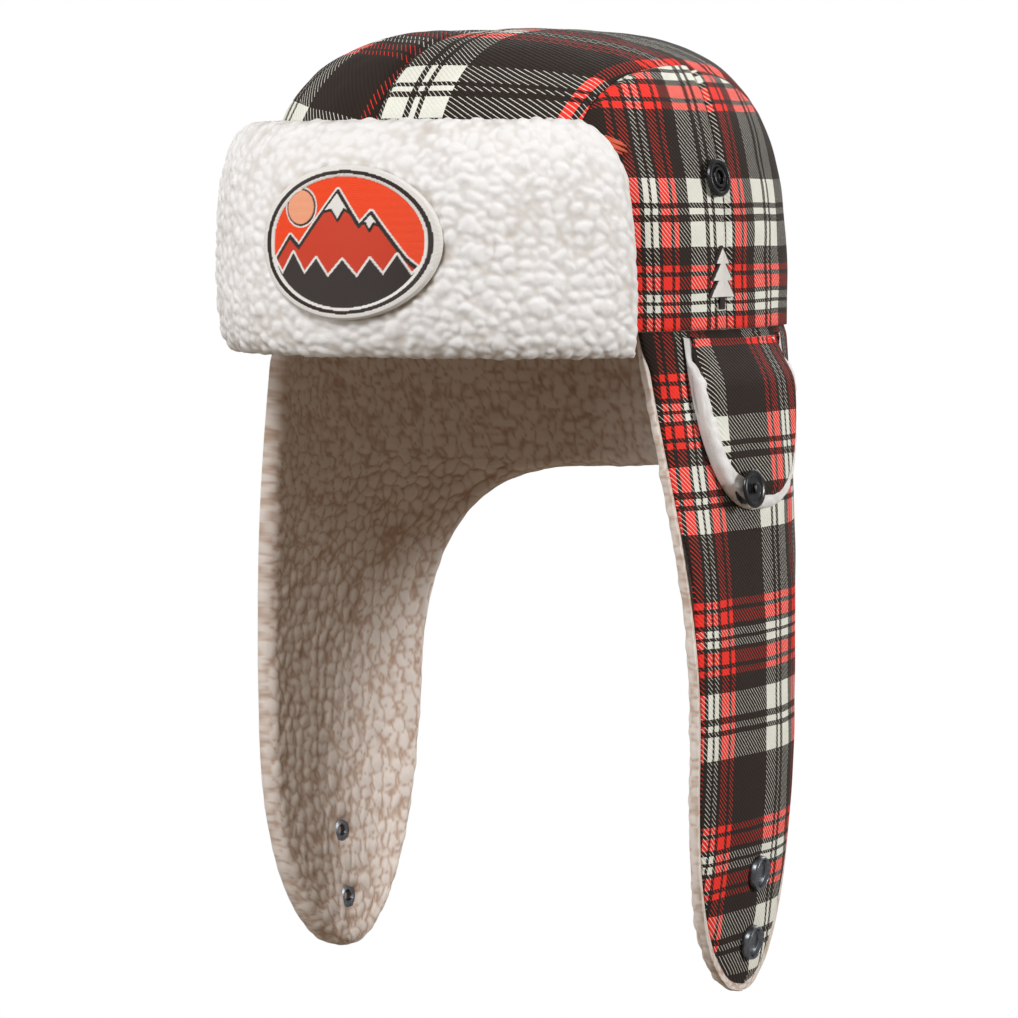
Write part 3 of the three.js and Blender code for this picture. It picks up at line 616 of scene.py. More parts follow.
# The lining gives way to the centre seam's valley.
seam_room = 3.0 * np.exp(-(across / 10) ** 2)
behind = crown_slice(across, angle, LINING_BACK - seam_room)
inner = crown_slice(across, angle, LINING_FACE - seam_room / 3)
edge = rounded(across + ARCH_SEAM_X, ARCH_SEAM_X - across, behind[..., 2] + 0.5)[..., None]
inward = -facing(inner, grid_normals(inner), np.zeros(3))
centre_lining = pile_piece(
    "crown_lining_centre_pile", behind + (inner - behind) * edge, behind, inward, 21,
    ["crown_lining_centre"], relief_rim=edge[..., 0], pile=lining_fleece)
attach(centre_lining, "crown")
for side, sign in (("left", 1), ("right", -1)):
    turn = np.linspace(0, 1, 120)[None, :]
    rise = np.sin(np.linspace(0, math.pi / 2, 70))[:, None]
    grids = []
    for off in (LINING_BACK, LINING_FACE):
        half_width = CROWN_HALF_WIDTH + off
        share_top = slice_reach(np.array([ARCH_SEAM_X / half_width * CROWN_HALF_WIDTH]),
                                np.array([math.pi / 2]))[0]
        z = rise * share_top * (CROWN_HEIGHT + off)
        flat = (1 - (z / (CROWN_HEIGHT + off)) ** PROFILE_POWER) ** (PLAN_POWER / PROFILE_POWER)
        arch = (CROWN_HALF_LENGTH + off) * np.clip(
            flat - (ARCH_SEAM_X / half_width) ** PLAN_POWER, 0, 1) ** (1 / PLAN_POWER)
        y = arch * (2 * turn - 1)
        rest = np.clip(flat - np.abs(y / (CROWN_HALF_LENGTH + off)) ** PLAN_POWER, 0, 1)
        x = np.maximum(half_width * rest ** (1 / PLAN_POWER), ARCH_SEAM_X + 0.3)
        grids.append(np.stack([sign * x, y, z + LINING_FOOT + 0 * y], -1))
    behind, inner = grids
    edge = rounded(np.abs(inner[..., 0]) - ARCH_SEAM_X, inner[..., 2] + 0.5)[..., None]
    inward = -facing(inner, grid_normals(inner), np.zeros(3))
    lining = pile_piece(
        f"{side}_crown_lining_pile", behind + (inner - behind) * edge, behind, inward, 25,
        [f"{side}_crown_lining_side"], relief_rim=edge[..., 0], pile=lining_fleece)
    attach(lining, "crown")


# ---- Ear and nape band with its flaps ----
# On each side one piece of twill and one of fleece, cut in one from the nape to the flap's tip, joined
# by a seam at the centre of the back and turned in along the edge. The cloth bends at the flap's fold.
BAND_FOOT = 0.6
SPLAY_DROP = 150.0
FLAP_DROP = -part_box("left_flap_shell")[0][2] * 1000
BAND_HALF_WIDTH = CROWN_HALF_WIDTH
BAND_SPLAY = 12.5
TIP_TUCK = 9.0
BAND_FORWARD = 12.0
NECK_DROP = 61.0
FLAP_CENTRE = 9.5
FLAP_WIDTH = 95.0
FOLD_DROP = 95.0
BAND_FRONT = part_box("left_band_shell")[0][1] * 1000
BAND_OFF = -0.5
SEAM_TURN = 180.0
FLAP_SNAPS = [
    [sum(c) / 2 * 1000 for c in zip(*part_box(f"left_flap_{level}_cap"))] for level in ("upper", "lower")]
SNAP_BACKS = [
    [sum(c) / 2 * 1000 for c in zip(*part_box(f"left_flap_{level}_socket"))]
    for level in ("upper", "lower")]
HATCH_SNAP = [sum(c) / 2 * 1000 for c in zip(*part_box("left_hatch_snap_stud"))]


def smooth_step(value):
    """From 0 to 1, level at both ends."""
    value = np.clip(value, 0, 1)
    return value * value * (3 - 2 * value)


def band_point(turn, z, off):
    """A point off millimetres outside the band: it opens as it hangs, and tucks in at the flap's tip."""
    drop = np.maximum(-z, 0)
    opened = BAND_SPLAY * np.sin(math.pi / 2 * np.minimum(drop / SPLAY_DROP, 1))
    below = np.maximum(drop - SPLAY_DROP, 0) / (FLAP_DROP - SPLAY_DROP)
    hang = smooth_step(drop / SPLAY_DROP)
    half_width = BAND_HALF_WIDTH + opened - TIP_TUCK * below ** 2 + off
    half_length = CROWN_HALF_LENGTH + BAND_FORWARD / 3 * hang + off
    x, y = plan_point(turn, half_width, half_length)
    return np.stack([x, y - BAND_FORWARD * hang, z + 0 * x], -1)


def turn_at(point_at, y, z):
    """The turn, from front to back, at which a surface has this y."""
    low, high = np.zeros_like(y), np.full_like(y, 180.0)
    for _ in range(40):
        middle = (low + high) / 2
        before = point_at(middle, z, 0.0)[..., 1] < y
        low, high = np.where(before, middle, low), np.where(before, high, middle)
    return low


def bezier(start, first, second, end, steps=60):
    """Points on a Bezier curve."""
    t = np.linspace(0, 1, steps)[:, None]
    points = [np.array(p, float) for p in (start, first, second, end)]
    return ((1 - t) ** 3 * points[0] + 3 * (1 - t) ** 2 * t * points[1]
            + 3 * (1 - t) * t ** 2 * points[2] + t ** 3 * points[3])


flap_front = FLAP_CENTRE - FLAP_WIDTH / 2
flap_rear = FLAP_CENTRE + FLAP_WIDTH / 2
neck_back = CROWN_HALF_LENGTH - BAND_FORWARD / 3
tip_round = 0.45 * FLAP_WIDTH
waist = SPLAY_DROP + 15
tip = (FLAP_CENTRE, -FLAP_DROP + BAND_FOOT)
front_line = np.concatenate([
    bezier((BAND_FRONT + 0.3, -BAND_FOOT), (BAND_FRONT + 3, -NECK_DROP), (flap_front, -FOLD_DROP - 5),
           (flap_front, -waist)),
    bezier((flap_front, -waist), (flap_front, -FLAP_DROP + 25), (FLAP_CENTRE - tip_round / 2, tip[1]),
           tip)[1:]])
rear_line = np.concatenate([
    bezier((neck_back, -NECK_DROP - 1), ((flap_rear + neck_back) / 2, -NECK_DROP - 1),
           (flap_rear + 1, -FOLD_DROP + 3), (flap_rear, -SPLAY_DROP)),
    bezier((flap_rear, -SPLAY_DROP), (flap_rear - 3, -FLAP_DROP + 35),
           (FLAP_CENTRE + tip_round / 2, tip[1]), tip)[1:]])


def as_turns(line, inset):
    """The line as (turn, z), moved inset millimetres towards the flap's middle."""
    middle = np.array([FLAP_CENTRE, -FLAP_DROP + 60])
    way = middle - line
    way[:, 0] *= smooth_step(-line[:, 1] / 40) * (np.abs(way[:, 0]) > 1)
    way[:, 1] *= (line[:, 1] < middle[1]) | (line[:, 0] > FLAP_CENTRE)
    line = line + inset * np.sign(way) * np.minimum(np.abs(way) / 20, 1)
    turn = turn_at(band_point, line[:, 0], line[:, 1])
    return np.stack([turn, line[:, 1]], -1)


def in_millimetres(line):
    """A line of (turn, z), evenly spaced by its real length on the band."""
    points = band_point(line[:, 0], line[:, 1], 0.0)
    run = np.concatenate([[0], np.cumsum(np.linalg.norm(np.diff(points, axis=0), axis=1))])
    return run / run[-1]


def band_grid(rows, columns, inset=0.0):
    """(turn, z) all over one side, ruled between its front edge and its rear edge."""
    front = as_turns(front_line, inset)
    down_back = np.stack([np.full(20, SEAM_TURN), np.linspace(-BAND_FOOT, -NECK_DROP + inset, 20)], -1)
    along_neck = as_turns(rear_line, 0) + np.array([0, inset])
    neck_start = along_neck[0, 0]
    neck = np.stack([np.linspace(SEAM_TURN, neck_start, 30)[1:-1],
                     np.linspace(-NECK_DROP, -NECK_DROP - 1, 30)[1:-1] + inset], -1)
    rear = np.concatenate([down_back, neck, along_neck])
    wanted = np.linspace(0, 1, rows)
    ends = []
    for line in (front, rear):
        run = in_millimetres(line)
        ends.append(np.stack([np.interp(wanted, run, line[:, k]) for k in range(2)], -1))
    share = np.linspace(0, 1, columns)[None, :]
    # Rows leave the nape level, so that none of them dips below its edge.
    falling = 1 - (1 - share) ** 2
    weights = np.stack([share, falling], -1)
    return ends[0][:, None] * (1 - weights) + ends[1][:, None] * weights


def edge_gap(points):
    """How far each point of a grid is from its nearest edge, in millimetres, leaving out the nape seam."""
    around = np.concatenate([points[0, ::-1], points[:, 0], points[-1], points[::-1, -1]])
    ahead = np.roll(around, -1, axis=0)
    edge = np.concatenate([around + (ahead - around) * k / 4 for k in range(4)])
    edge = edge[np.abs(edge[:, 0]) > 1]
    tree = KDTree(len(edge))
    for i, place in enumerate(edge.tolist()):
        tree.insert(place, i)
    tree.balance()
    return np.array([tree.find(p)[2] for p in points.reshape(-1, 3).tolist()]).reshape(points.shape[:2])


def pressed(points, middles, width, depth):
    """How far cloth is pressed in round each snap."""
    total = np.zeros(points.shape[:-1])
    for middle in middles:
        gap = np.linalg.norm(points - np.array(middle), axis=-1)
        total += depth * np.exp(-(gap / width) ** 4)
    return total


def mirrored(points, sign):
    """Points of the left side, or of the right one if sign is -1."""
    return points * np.array([sign, 1, 1])


# Where a red stripe crosses the flap both ways, and how far the cloth has stretched downwards.
RED_COLUMN_Y = -15.0
RED_ROW_Z = -103.4
ROW_STRETCH = 1.02
# The twill's edge is turned in, and the pile comes up behind it and hides it.
TURNED_IN = 2.4
EDGE_ROLL = 0.9
RIM_RISE = 1.5
EDGE_WIDTH = 2.2
BAND_MIDDLE = np.array([0, 0, -100])
# Round the nape the cloth is measured along the curve: how much longer that is than it looks side on.
nape_turn = np.linspace(90, 180, 400)
nape = band_point(nape_turn, np.full(400, -50.0), 0.0)
nape_run = np.concatenate([[0], np.cumsum(np.linalg.norm(np.diff(nape, axis=0), axis=1))])
nape_extra = nape_run - (nape[:, 1] - nape[0, 1])
places = band_grid(210, 130, inset=TURNED_IN)
turn, z = places[..., 0], places[..., 1]
z = z + 0.5 * np.exp(-((z + BAND_FOOT) / 3) ** 2)
shell_face = band_point(turn, z, BAND_OFF)
shell_gap = edge_gap(shell_face)
lining_places = band_grid(250, 170)
lining_back = band_point(lining_places[..., 0], lining_places[..., 1], BAND_OFF + LINING_BACK)
lining_rise = RIM_RISE * np.exp(-(edge_gap(lining_back) / EDGE_WIDTH) ** 2)
lining_rise = lining_rise * smooth_step((-lining_places[..., 1] - 6) / 10)
lining_back = band_point(
    lining_places[..., 0], lining_places[..., 1], BAND_OFF + LINING_BACK + lining_rise)
lining_front = band_point(lining_places[..., 0], lining_places[..., 1], BAND_OFF + LINING_FACE)
lining_in = -facing(lining_front, grid_normals(lining_front), BAND_MIDDLE)
lining_edge = rounded(edge_gap(lining_back), radius=4.5)[..., None]
inner_press = pressed(lining_front, SNAP_BACKS, width=4.6, depth=3.6) - 0.4 * (1 - lining_edge[..., 0])
# The curls stand out from the rounded rim too, all the way to the edge.
lining_face = lining_back + (lining_front - lining_back) * lining_edge
lining_out = grid_normals(lining_face)
lining_out = lining_out * np.sign((lining_out * lining_in).sum(-1).mean())
for side, sign in (("left", 1), ("right", -1)):
    across_cloth = RED_COLUMN_Y - shell_face[..., 1] + 0.12 * (shell_face[..., 0] - 100)
    across_cloth = across_cloth - np.interp(turn, nape_turn, nape_extra)
    cloth = np.stack([across_cloth, (RED_ROW_Z - shell_face[..., 2]) * ROW_STRETCH], -1)
    # The side hangs in a few soft folds, most of all below the hatch and at the back of the flap.
    folds = 0.8 * soft_noise(shell_face, 70, 31 + sign) * smooth_step((-shell_face[..., 2] - 20) / 60)
    rolled = EDGE_ROLL * np.exp(-(shell_gap / EDGE_WIDTH) ** 2)
    press = pressed(shell_face, FLAP_SNAPS, width=8, depth=0.7)
    dip = rolled + press - folds + SEAM_DIP * np.exp(-((180 - turn) / 1.6) ** 2)
    shell = twill_piece(
        f"{side}_band_and_flap_cloth", mirrored(shell_face, sign), cloth, dip,
        [f"{side}_band_shell", f"{side}_flap_shell"], centre=BAND_MIDDLE, seed=41 + sign, ripple=0.25)
    lining = pile_piece(
        f"{side}_band_and_flap_pile", mirrored(lining_face, sign), mirrored(lining_back, sign),
        mirrored(lining_out, sign), 33 + sign, [f"{side}_band_lining", f"{side}_flap_lining"],
        flatten=inner_press, relief_rim=0.6 + 0.4 * lining_edge[..., 0], pile=lining_fleece)
    for piece in (shell, lining):
        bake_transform(piece)


# ---- Hatches ----
# A short tongue of twill over each ear, backed with fleece that stands out all round its edge as a white
# rim. It hangs from the crown's seam, and its snap meets the crown's when it is folded up.
hatch_low, hatch_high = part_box("left_hatch_shell")
HATCH_DROP = -hatch_low[2] * 1000
HATCH_HALF_WIDTH = (hatch_high[1] - hatch_low[1]) * 500
HATCH_MIDDLE = (hatch_high[1] + hatch_low[1]) * 500
HATCH_TOP = -2.2
HATCH_ROUNDNESS = 2.5
HATCH_RIM = 4.5
HATCH_CLEARANCE = 0.9
HATCH_PILE = 5.0
HATCH_SHELL = 7.4
HATCH_CLOTH_START = (79.0, 95.0)
THINNED = 0.15
EAR_MIDDLE = np.array([0, 0, -40])


def hatch_grid(rows, columns, rim):
    """(y, z) over the tongue, rim millimetres inside its outline."""
    across = np.sin(np.linspace(-math.pi / 2, math.pi / 2, columns))[None, :]
    deepest = (1 - np.abs(across) ** HATCH_ROUNDNESS) ** (1 / HATCH_ROUNDNESS)
    fall = np.linspace(0.02, 1, rows)[:, None] * np.maximum(deepest, 0.03)
    z = HATCH_TOP - (HATCH_DROP + HATCH_TOP - rim) * fall
    return HATCH_MIDDLE + (HATCH_HALF_WIDTH - rim * 0.85) * across + 0 * z, z


def hatch_point(y, z, off):
    """The hatch thins and comes in towards the seam that it hangs from."""
    share = THINNED + (1 - THINNED) * smooth_step((HATCH_TOP - z) / 20)
    turn = turn_at(band_point, y, z)
    return band_point(turn, z, BAND_OFF + HATCH_CLEARANCE + (off - HATCH_CLEARANCE) * share)


for side, sign in (("left", 1), ("right", -1)):
    y, z = hatch_grid(90, 90, HATCH_RIM)
    outer = hatch_point(y, z, HATCH_SHELL)
    gap = edge_gap(outer)
    cloth = np.stack([y, z], -1) + HATCH_CLOTH_START
    dip = 1.6 * np.exp(-(gap / 2.6) ** 2) * smooth_step((HATCH_TOP - z) / 8)
    dip = dip + pressed(outer, [HATCH_SNAP], width=9, depth=0.8) - 0.5 * soft_noise(outer, 45, 52 + sign)
    shell = twill_piece(
        f"{side}_hatch_cloth", mirrored(outer, sign), cloth, dip, [f"{side}_hatch_shell"],
        centre=EAR_MIDDLE, seed=54 + sign, ripple=0.25)
    y, z = hatch_grid(110, 130, 0)
    behind = hatch_point(y, z, HATCH_CLEARANCE)
    top = hatch_point(y, z, HATCH_CLEARANCE + HATCH_PILE)
    gap = edge_gap(behind)
    full = rounded(gap, radius=3.5)[..., None]
    under_cloth = smooth_step((gap - 3.5) / 3)
    below_seam = smooth_step((HATCH_TOP - 6 - z) / 9)
    low_share = (THINNED + (1 - THINNED) * below_seam)[..., None]
    out = facing(top, grid_normals(top), EAR_MIDDLE)
    # The side towards the ear is pile too, sunk so that it clears the band.
    sunk = np.clip(1.5 - pile_relief(behind, 60 + sign)[0], 0, 3)[..., None] * full * low_share
    pile = pile_piece(
        f"{side}_hatch_pile", mirrored(behind + (top - behind) * full * low_share, sign),
        mirrored(behind + out * sunk, sign), mirrored(out, sign), 57 + sign, [f"{side}_hatch_lining"],
        relief_rim=(1 - under_cloth) * (0.4 + 0.6 * full[..., 0]) * below_seam)
    for piece in (shell, pile):
        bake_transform(piece)


# ---- Visor ----
# A fleece-faced flap folded up from the crown's edge: stiffened twill behind, pile in front, the pile
# carried round the rim and under the fold. Its rim is thick, round and fuzzy.
VISOR_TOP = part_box("visor_fleece")[1][2] * 1000
VISOR_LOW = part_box("visor_fleece")[0][2] * 1000
VISOR_HALF_TURN = 62.0
VISOR_BULGE = 14.0
VISOR_FRONT_BULGE = 2.5
VISOR_BACK = 5.4
VISOR_FOOT = -7.4
CORNER_HEIGHT = 35.0
CORNER_SHARE = 0.2
VISOR_LEAN = 1.5
RIM_POWER = 3.4
# Half the visor's height and its depth, near enough to space the rows by.
VISOR_HALF_HEIGHT = 43.0
VISOR_DEPTH = 9.0
# The pile's knitted back keeps this far from the crown's edge, above it and under it.
SEAM_GAP = 0.8
PATCH_DENT = 1.3

even = np.linspace(-1, 1, 380)
spread = (0.8 * even + 0.2 * np.sin(even * math.pi / 2))[None, :]
corner = np.clip((np.abs(spread) - 1 + CORNER_SHARE) / CORNER_SHARE, 0, 1)
visor_top = VISOR_TOP - CORNER_HEIGHT * (1 - np.sqrt(1 - corner ** 2))
end_round = (1 - np.abs(spread) ** 30) ** (1 / 2.5)


def visor_thickness(spread, z):
    """How far the pile's face stands outside the crown: it hangs upright where the crown curves in."""
    upright = CROWN_HALF_WIDTH * (1 - crown_share(z)) * 0.4
    front = VISOR_FRONT_BULGE * np.cos(np.radians(spread * VISOR_HALF_TURN)) ** 2
    return VISOR_BULGE + front + upright


# Rows are evenly spaced along the rounded face, over the rim and down to the fold.
fine = np.linspace(math.pi / 2, -math.pi / 2, 4001)
side_view = np.stack([
    VISOR_HALF_HEIGHT * np.sign(fine) * np.abs(np.sin(fine)) ** (2 / RIM_POWER),
    VISOR_DEPTH * np.abs(np.cos(fine)) ** (2 / RIM_POWER)], -1)
run = np.concatenate([[0], np.cumsum(np.linalg.norm(np.diff(side_view, axis=0), axis=1))])
tilt = np.interp(np.linspace(0, run[-1], 170), run, fine)[:, None]
middle_z = (visor_top + VISOR_LOW) / 2
half_z = (visor_top - VISOR_LOW) / 2
z = middle_z + half_z * np.sign(np.sin(tilt)) * np.abs(np.sin(tilt)) ** (2 / RIM_POWER)
stand = (visor_thickness(spread, z) - VISOR_BACK) * np.abs(np.cos(tilt)) ** (2 / RIM_POWER) * end_round
turn = spread * (VISOR_HALF_TURN - VISOR_LEAN * smooth_step(z / VISOR_TOP))
face = crown_point(turn, np.maximum(z, 0), VISOR_BACK + stand)
face[..., 2] = z
# The foot goes on from the bottom of the fold, in under the crown's edge.
inwards = np.linspace(0, 1, 26)[1:, None]
foot_off = VISOR_BACK + (VISOR_FOOT - VISOR_BACK) * inwards + 0 * spread
foot_z = VISOR_LOW + (-1.0 - VISOR_LOW) * inwards ** 3 * 0.75 + 0 * spread
foot_low = crown_point(0.96 * spread * VISOR_HALF_TURN + 0 * foot_z, 0 * foot_z, foot_off)
foot_low[..., 2] = foot_z
visor_face = np.concatenate([face, foot_low])
visor_back = crown_point(turn, np.maximum(z, SEAM_GAP), VISOR_BACK - 0.6 + 0 * z)
visor_back[..., 2] = np.minimum(np.maximum(z, -SEAM_GAP), visor_top)
foot_high = foot_low.copy()
foot_high[..., 2] = -SEAM_GAP
visor_hidden = np.concatenate([visor_back, foot_high])
out = facing(visor_face, grid_normals(visor_face), np.zeros(3))
# The sewn patch presses the pile flat under it.
patch_low, patch_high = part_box("visor_emblem")
patch_x = (visor_face[..., 0] * 2 - 1000 * (patch_low[0] + patch_high[0])) / (
    1000 * (patch_high[0] - patch_low[0]))
patch_z = (visor_face[..., 2] * 2 - 1000 * (patch_low[2] + patch_high[2])) / (
    1000 * (patch_high[2] - patch_low[2]))
emblem_flat = PATCH_DENT * np.exp(-(patch_x ** 2 + patch_z ** 2) ** 6)
foot_quiet = np.concatenate([np.ones_like(z), 0.4 + 0 * foot_z])
visor = pile_piece(
    "visor_pile", visor_face, visor_hidden, out, 71, ["visor_fleece"],
    flatten=np.where(visor_face[..., 1] < -60, emblem_flat, 0), relief_rim=foot_quiet)
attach(visor, "crown")

# Behind the pile are the twill back panel and the felt stiffener, of which only thin edges show.
BACK_PANEL_FOOT = 3.0
BACK_PANEL_OFF = 1.5
BACK_PANEL_THICKNESS = 1.1
back_turn = np.linspace(-1, 1, 120)[None, :]
back_corner = np.clip((np.abs(back_turn) - 1 + CORNER_SHARE) / CORNER_SHARE, 0, 1)
back_top = VISOR_TOP - BACK_PANEL_FOOT - CORNER_HEIGHT * (1 - np.sqrt(1 - back_corner ** 2))
lift = np.linspace(0, 1, 60)[:, None]
z = BACK_PANEL_FOOT + (back_top - BACK_PANEL_FOOT) * lift
turn = back_turn * (VISOR_HALF_TURN - 2) + 0 * z
panel = crown_point(turn, z, BACK_PANEL_OFF)
cloth = np.stack([turn * 1.9, z], -1)
panel_out = facing(panel, grid_normals(panel), np.zeros(3))
visor_panel = wall_mesh(
    "visor_back_cloth", panel + panel_out * BACK_PANEL_THICKNESS, panel, cloth=cloth)
visor_panel.data.materials.append(twill)
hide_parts("visor_back_panel")
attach(visor_panel, "crown")

# Needled felt: matt, and mottled by short fibres that are drawn coarser than life so that they show.
felt, felt_tree, felt_shader = new_material("needled_wool_felt")
felt_place = add_node(felt_tree, "ShaderNodeTexCoord")
felt_fibre = add_node(
    felt_tree, "ShaderNodeTexNoise", [("Vector", felt_place.outputs["Object"])], Scale=900.0, Detail=4.0)
felt_tone = add_node(felt_tree, "ShaderNodeValToRGB", [(0, felt_fibre.outputs[0])])
felt_tone.color_ramp.elements[0].color = linear("b9b2a2")
felt_tone.color_ramp.elements[1].color = linear("ddd8cb")
felt_tree.links.new(felt_tone.outputs[0], felt_shader.inputs["Base Color"])
felt_shader.inputs["Roughness"].default_value = 0.95
stiffener = bpy.data.objects["visor_stiffener"]
stiffener.data.materials.clear()
stiffener.data.materials.append(felt)


# ---- Thread tacks ----
# A bar tack in orange polyester thread at each upper corner of the visor: seven satin stitches side by
# side, over the corner and into the crown.
THREAD_RADIUS = 0.45
TACK_STITCHES = 7
STITCH_STEP = 0.7
TACK_RISE = 23.0


def cord_mesh(name, lines, radius, sides=8):
    """One mesh of round threads along lines of points in millimetres."""
    points, faces = [], []
    for line in lines:
        line = np.array(line, float)
        tangent = np.gradient(line, axis=0)
        tangent /= np.linalg.norm(tangent, axis=1, keepdims=True)
        side = np.cross(tangent, np.array([0.31, 0.17, 0.93]))
        side /= np.linalg.norm(side, axis=1, keepdims=True)
        up = np.cross(tangent, side)
        start = len(points)
        for i, centre in enumerate(line):
            for k in range(sides):
                a = 2 * math.pi * k / sides
                points.append(centre + radius * (math.cos(a) * side[i] + math.sin(a) * up[i]))
        for i in range(len(line) - 1):
            for k in range(sides):
                a, b = start + i * sides + k, start + i * sides + (k + 1) % sides
                faces.append((a, b, b + sides, a + sides))
        last = start + (len(line) - 1) * sides
        faces.append(tuple(range(start, start + sides))[::-1])
        faces.append(tuple(range(last, last + sides)))
    mesh = bpy.data.meshes.new(name)
    mesh.from_pydata((np.array(points) / 1000).tolist(), [], faces)
    mesh.shade_smooth()
    piece = bpy.data.objects.new(name, mesh)
    bpy.context.collection.objects.link(piece)
    return piece


def sewing_thread(name, colour, deep):
    """Trilobal polyester thread: a soft lustre and a fine twist along its length, with painted shade in the
    twist's grooves.
    """
    made, tree, shader = new_material(name)
    place = add_node(tree, "ShaderNodeTexCoord")
    twist = add_node(tree, "ShaderNodeTexWave", [("Vector", place.outputs["Object"])], Scale=700.0,
                     Distortion=1.5, bands_direction="DIAGONAL")
    # Painted shade: the colour darkens in the grooves of the twist.
    tone = add_node(tree, "ShaderNodeValToRGB", [(0, twist.outputs["Fac"])])
    tone.color_ramp.elements[0].color = linear(deep)
    tone.color_ramp.elements[1].color = linear(colour)
    tree.links.new(tone.outputs[0], shader.inputs["Base Color"])
    bump = add_node(tree, "ShaderNodeBump", [("Height", twist.outputs["Fac"])], Strength=0.4,
                    Distance=0.0002)
    tree.links.new(bump.outputs[0], shader.inputs["Normal"])
    shader.inputs["Roughness"].default_value = 0.5
    shader.inputs["Sheen Weight"].default_value = 0.2
    return made


orange_thread = sewing_thread("orange_polyester_thread", "f2602c", "b53a12")
for side, sign in (("left", 1), ("right", -1)):
    low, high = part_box(f"{side}_visor_tack")
    middle = (Vector(low) + Vector(high)) * 500
    stitches = []
    for k in range(TACK_STITCHES):
        z = middle.z + TACK_RISE - k * STITCH_STEP
        turn = VISOR_HALF_TURN - VISOR_LEAN + np.linspace(-2.6, 1.4 + 0.7 * (k % 3), 12)
        bow = 1.4 * np.sin(np.linspace(0, math.pi, 12)) + 1.6 * np.linspace(1, 0, 12)
        line = crown_point(turn, z + np.linspace(1.5, -1.0, 12), 0.3)
        line = line + np.stack([bow * 0.6, -bow, 0 * bow], -1)
        stitches.append(mirrored(line, sign))
    tack = cord_mesh(f"{side}_visor_bar_tack", stitches, THREAD_RADIUS)
    tack.data.materials.append(orange_thread)
    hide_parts(f"{side}_visor_tack")
    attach(tack, "crown")


# ---- Badges ----
# An oval patch embroidered on felt, sewn to the visor: a mountain under a low sun inside a stitched
# border. On the crown's left side is a small pine embroidered straight on to the twill. Both are rayon
# satin stitch, in raised rows of thread about 0.4 mm apart.
emblem_low, emblem_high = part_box("visor_emblem")
EMBLEM_WIDTH = (emblem_high[0] - emblem_low[0]) * 1000
EMBLEM_MIDDLE = (emblem_high[0] + emblem_low[0]) * 500
EMBLEM_HEIGHT = (emblem_high[2] - emblem_low[2]) * 1000
EMBLEM_RISE = (emblem_high[2] + emblem_low[2]) * 500
RAYONS = {
    "orange": linear("ff4a12"), "white": linear("f4f2ee"), "brown": linear("2b1d18"),
    "rust": linear("d9380c"), "sun": linear("ffb08a"),
}


def rayon_embroidery(name):
    """Rayon satin stitch: bright colour, silky gloss along each row of thread, and painted shade down
    between the rows.
    """
    made, tree, shader = new_material(name)
    yarn = add_node(tree, "ShaderNodeAttribute", attribute_name="yarn")
    rows = add_node(tree, "ShaderNodeAttribute", attribute_name="stitch")
    row = add_node(tree, "ShaderNodeSeparateXYZ", [(0, rows.outputs["Vector"])])
    phase = add_node(tree, "ShaderNodeMath", [(0, row.outputs["X"])], operation="SINE")
    fuzz = add_node(tree, "ShaderNodeTexNoise", [("Vector", rows.outputs["Vector"])], Scale=0.6,
                    Detail=3.0)
    height = add_node(
        tree, "ShaderNodeMath", [(0, fuzz.outputs[0]), (2, phase.outputs[0])], operation="MULTIPLY_ADD")
    height.inputs[1].default_value = 1.0
    # Painted shade and highlight: the colour darkens down between the rows of thread and brightens on their
    # tops.
    tone = add_node(tree, "ShaderNodeMapRange", [("Value", height.outputs[0])])
    tone.inputs["From Min"].default_value = -0.6
    tone.inputs["From Max"].default_value = 1.5
    tone.inputs["To Min"].default_value = 0.72
    tone.inputs["To Max"].default_value = 1.08
    lit = add_node(
        tree, "ShaderNodeVectorMath", [(0, yarn.outputs["Color"]), ("Scale", tone.outputs[0])],
        operation="SCALE")
    tree.links.new(lit.outputs[0], shader.inputs["Base Color"])
    bump = add_node(tree, "ShaderNodeBump", [("Height", height.outputs[0])], Strength=0.35,
                    Distance=0.0003)
    tree.links.new(bump.outputs[0], shader.inputs["Normal"])
    shader.inputs["Roughness"].default_value = 0.55
    shader.inputs["Specular IOR Level"].default_value = 0.35
    shader.inputs["Sheen Weight"].default_value = 0.1
    return made


embroidery = rayon_embroidery("rayon_satin_stitch")


def inside_polygon(x, y, corners):
    """True where a point lies inside a closed line through the corners."""
    found = np.zeros(x.shape, bool)
    for (ax, ay), (bx, by) in zip(corners, corners[1:] + corners[:1]):
        crossed = (ay > y) != (by > y)
        found ^= crossed & (x < (bx - ax) * (y - ay) / (by - ay + 1e-12) + ax)
    return found


def line_gap(x, y, corners):
    """Distance to a closed line through the corners."""
    nearest = np.full(x.shape, 99.0)
    for (ax, ay), (bx, by) in zip(corners, corners[1:] + corners[:1]):
        t = np.clip(((x - ax) * (bx - ax) + (y - ay) * (by - ay)) / ((bx - ax) ** 2 + (by - ay) ** 2), 0, 1)
        nearest = np.minimum(nearest, np.hypot(x - ax - t * (bx - ax), y - ay - t * (by - ay)))
    return nearest


def badge_piece(name, points, out, height, thickness, colour, stitch, node):
    """Embroidery raised by height over a backing of this thickness, laid on points."""
    face = points + out * (height + thickness)[..., None]
    piece = wall_mesh(name, face, points, yarn=colour, stitch=stitch)
    piece.data.materials.append(embroidery)
    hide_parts(node)
    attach(piece, "crown")
    return piece


def square_grid(count_x, count_y):
    """A grid over a unit circle, squared off: x, y and the distance from the middle."""
    u = np.linspace(-1, 1, count_x)[None, :] + np.zeros((count_y, 1))
    v = np.linspace(-1, 1, count_y)[:, None] + np.zeros((1, count_x))
    x = u * np.sqrt(1 - v ** 2 / 2)
    y = v * np.sqrt(1 - u ** 2 / 2)
    return x, y, np.hypot(x, y)


def painted(shape, layers):
    """Colours over an orange ground: the last mask that holds a point gives its yarn."""
    colour = np.zeros(shape + (4,))
    colour[...] = RAYONS["orange"]
    for mask, yarn in layers:
        colour[mask] = RAYONS[yarn]
    return colour


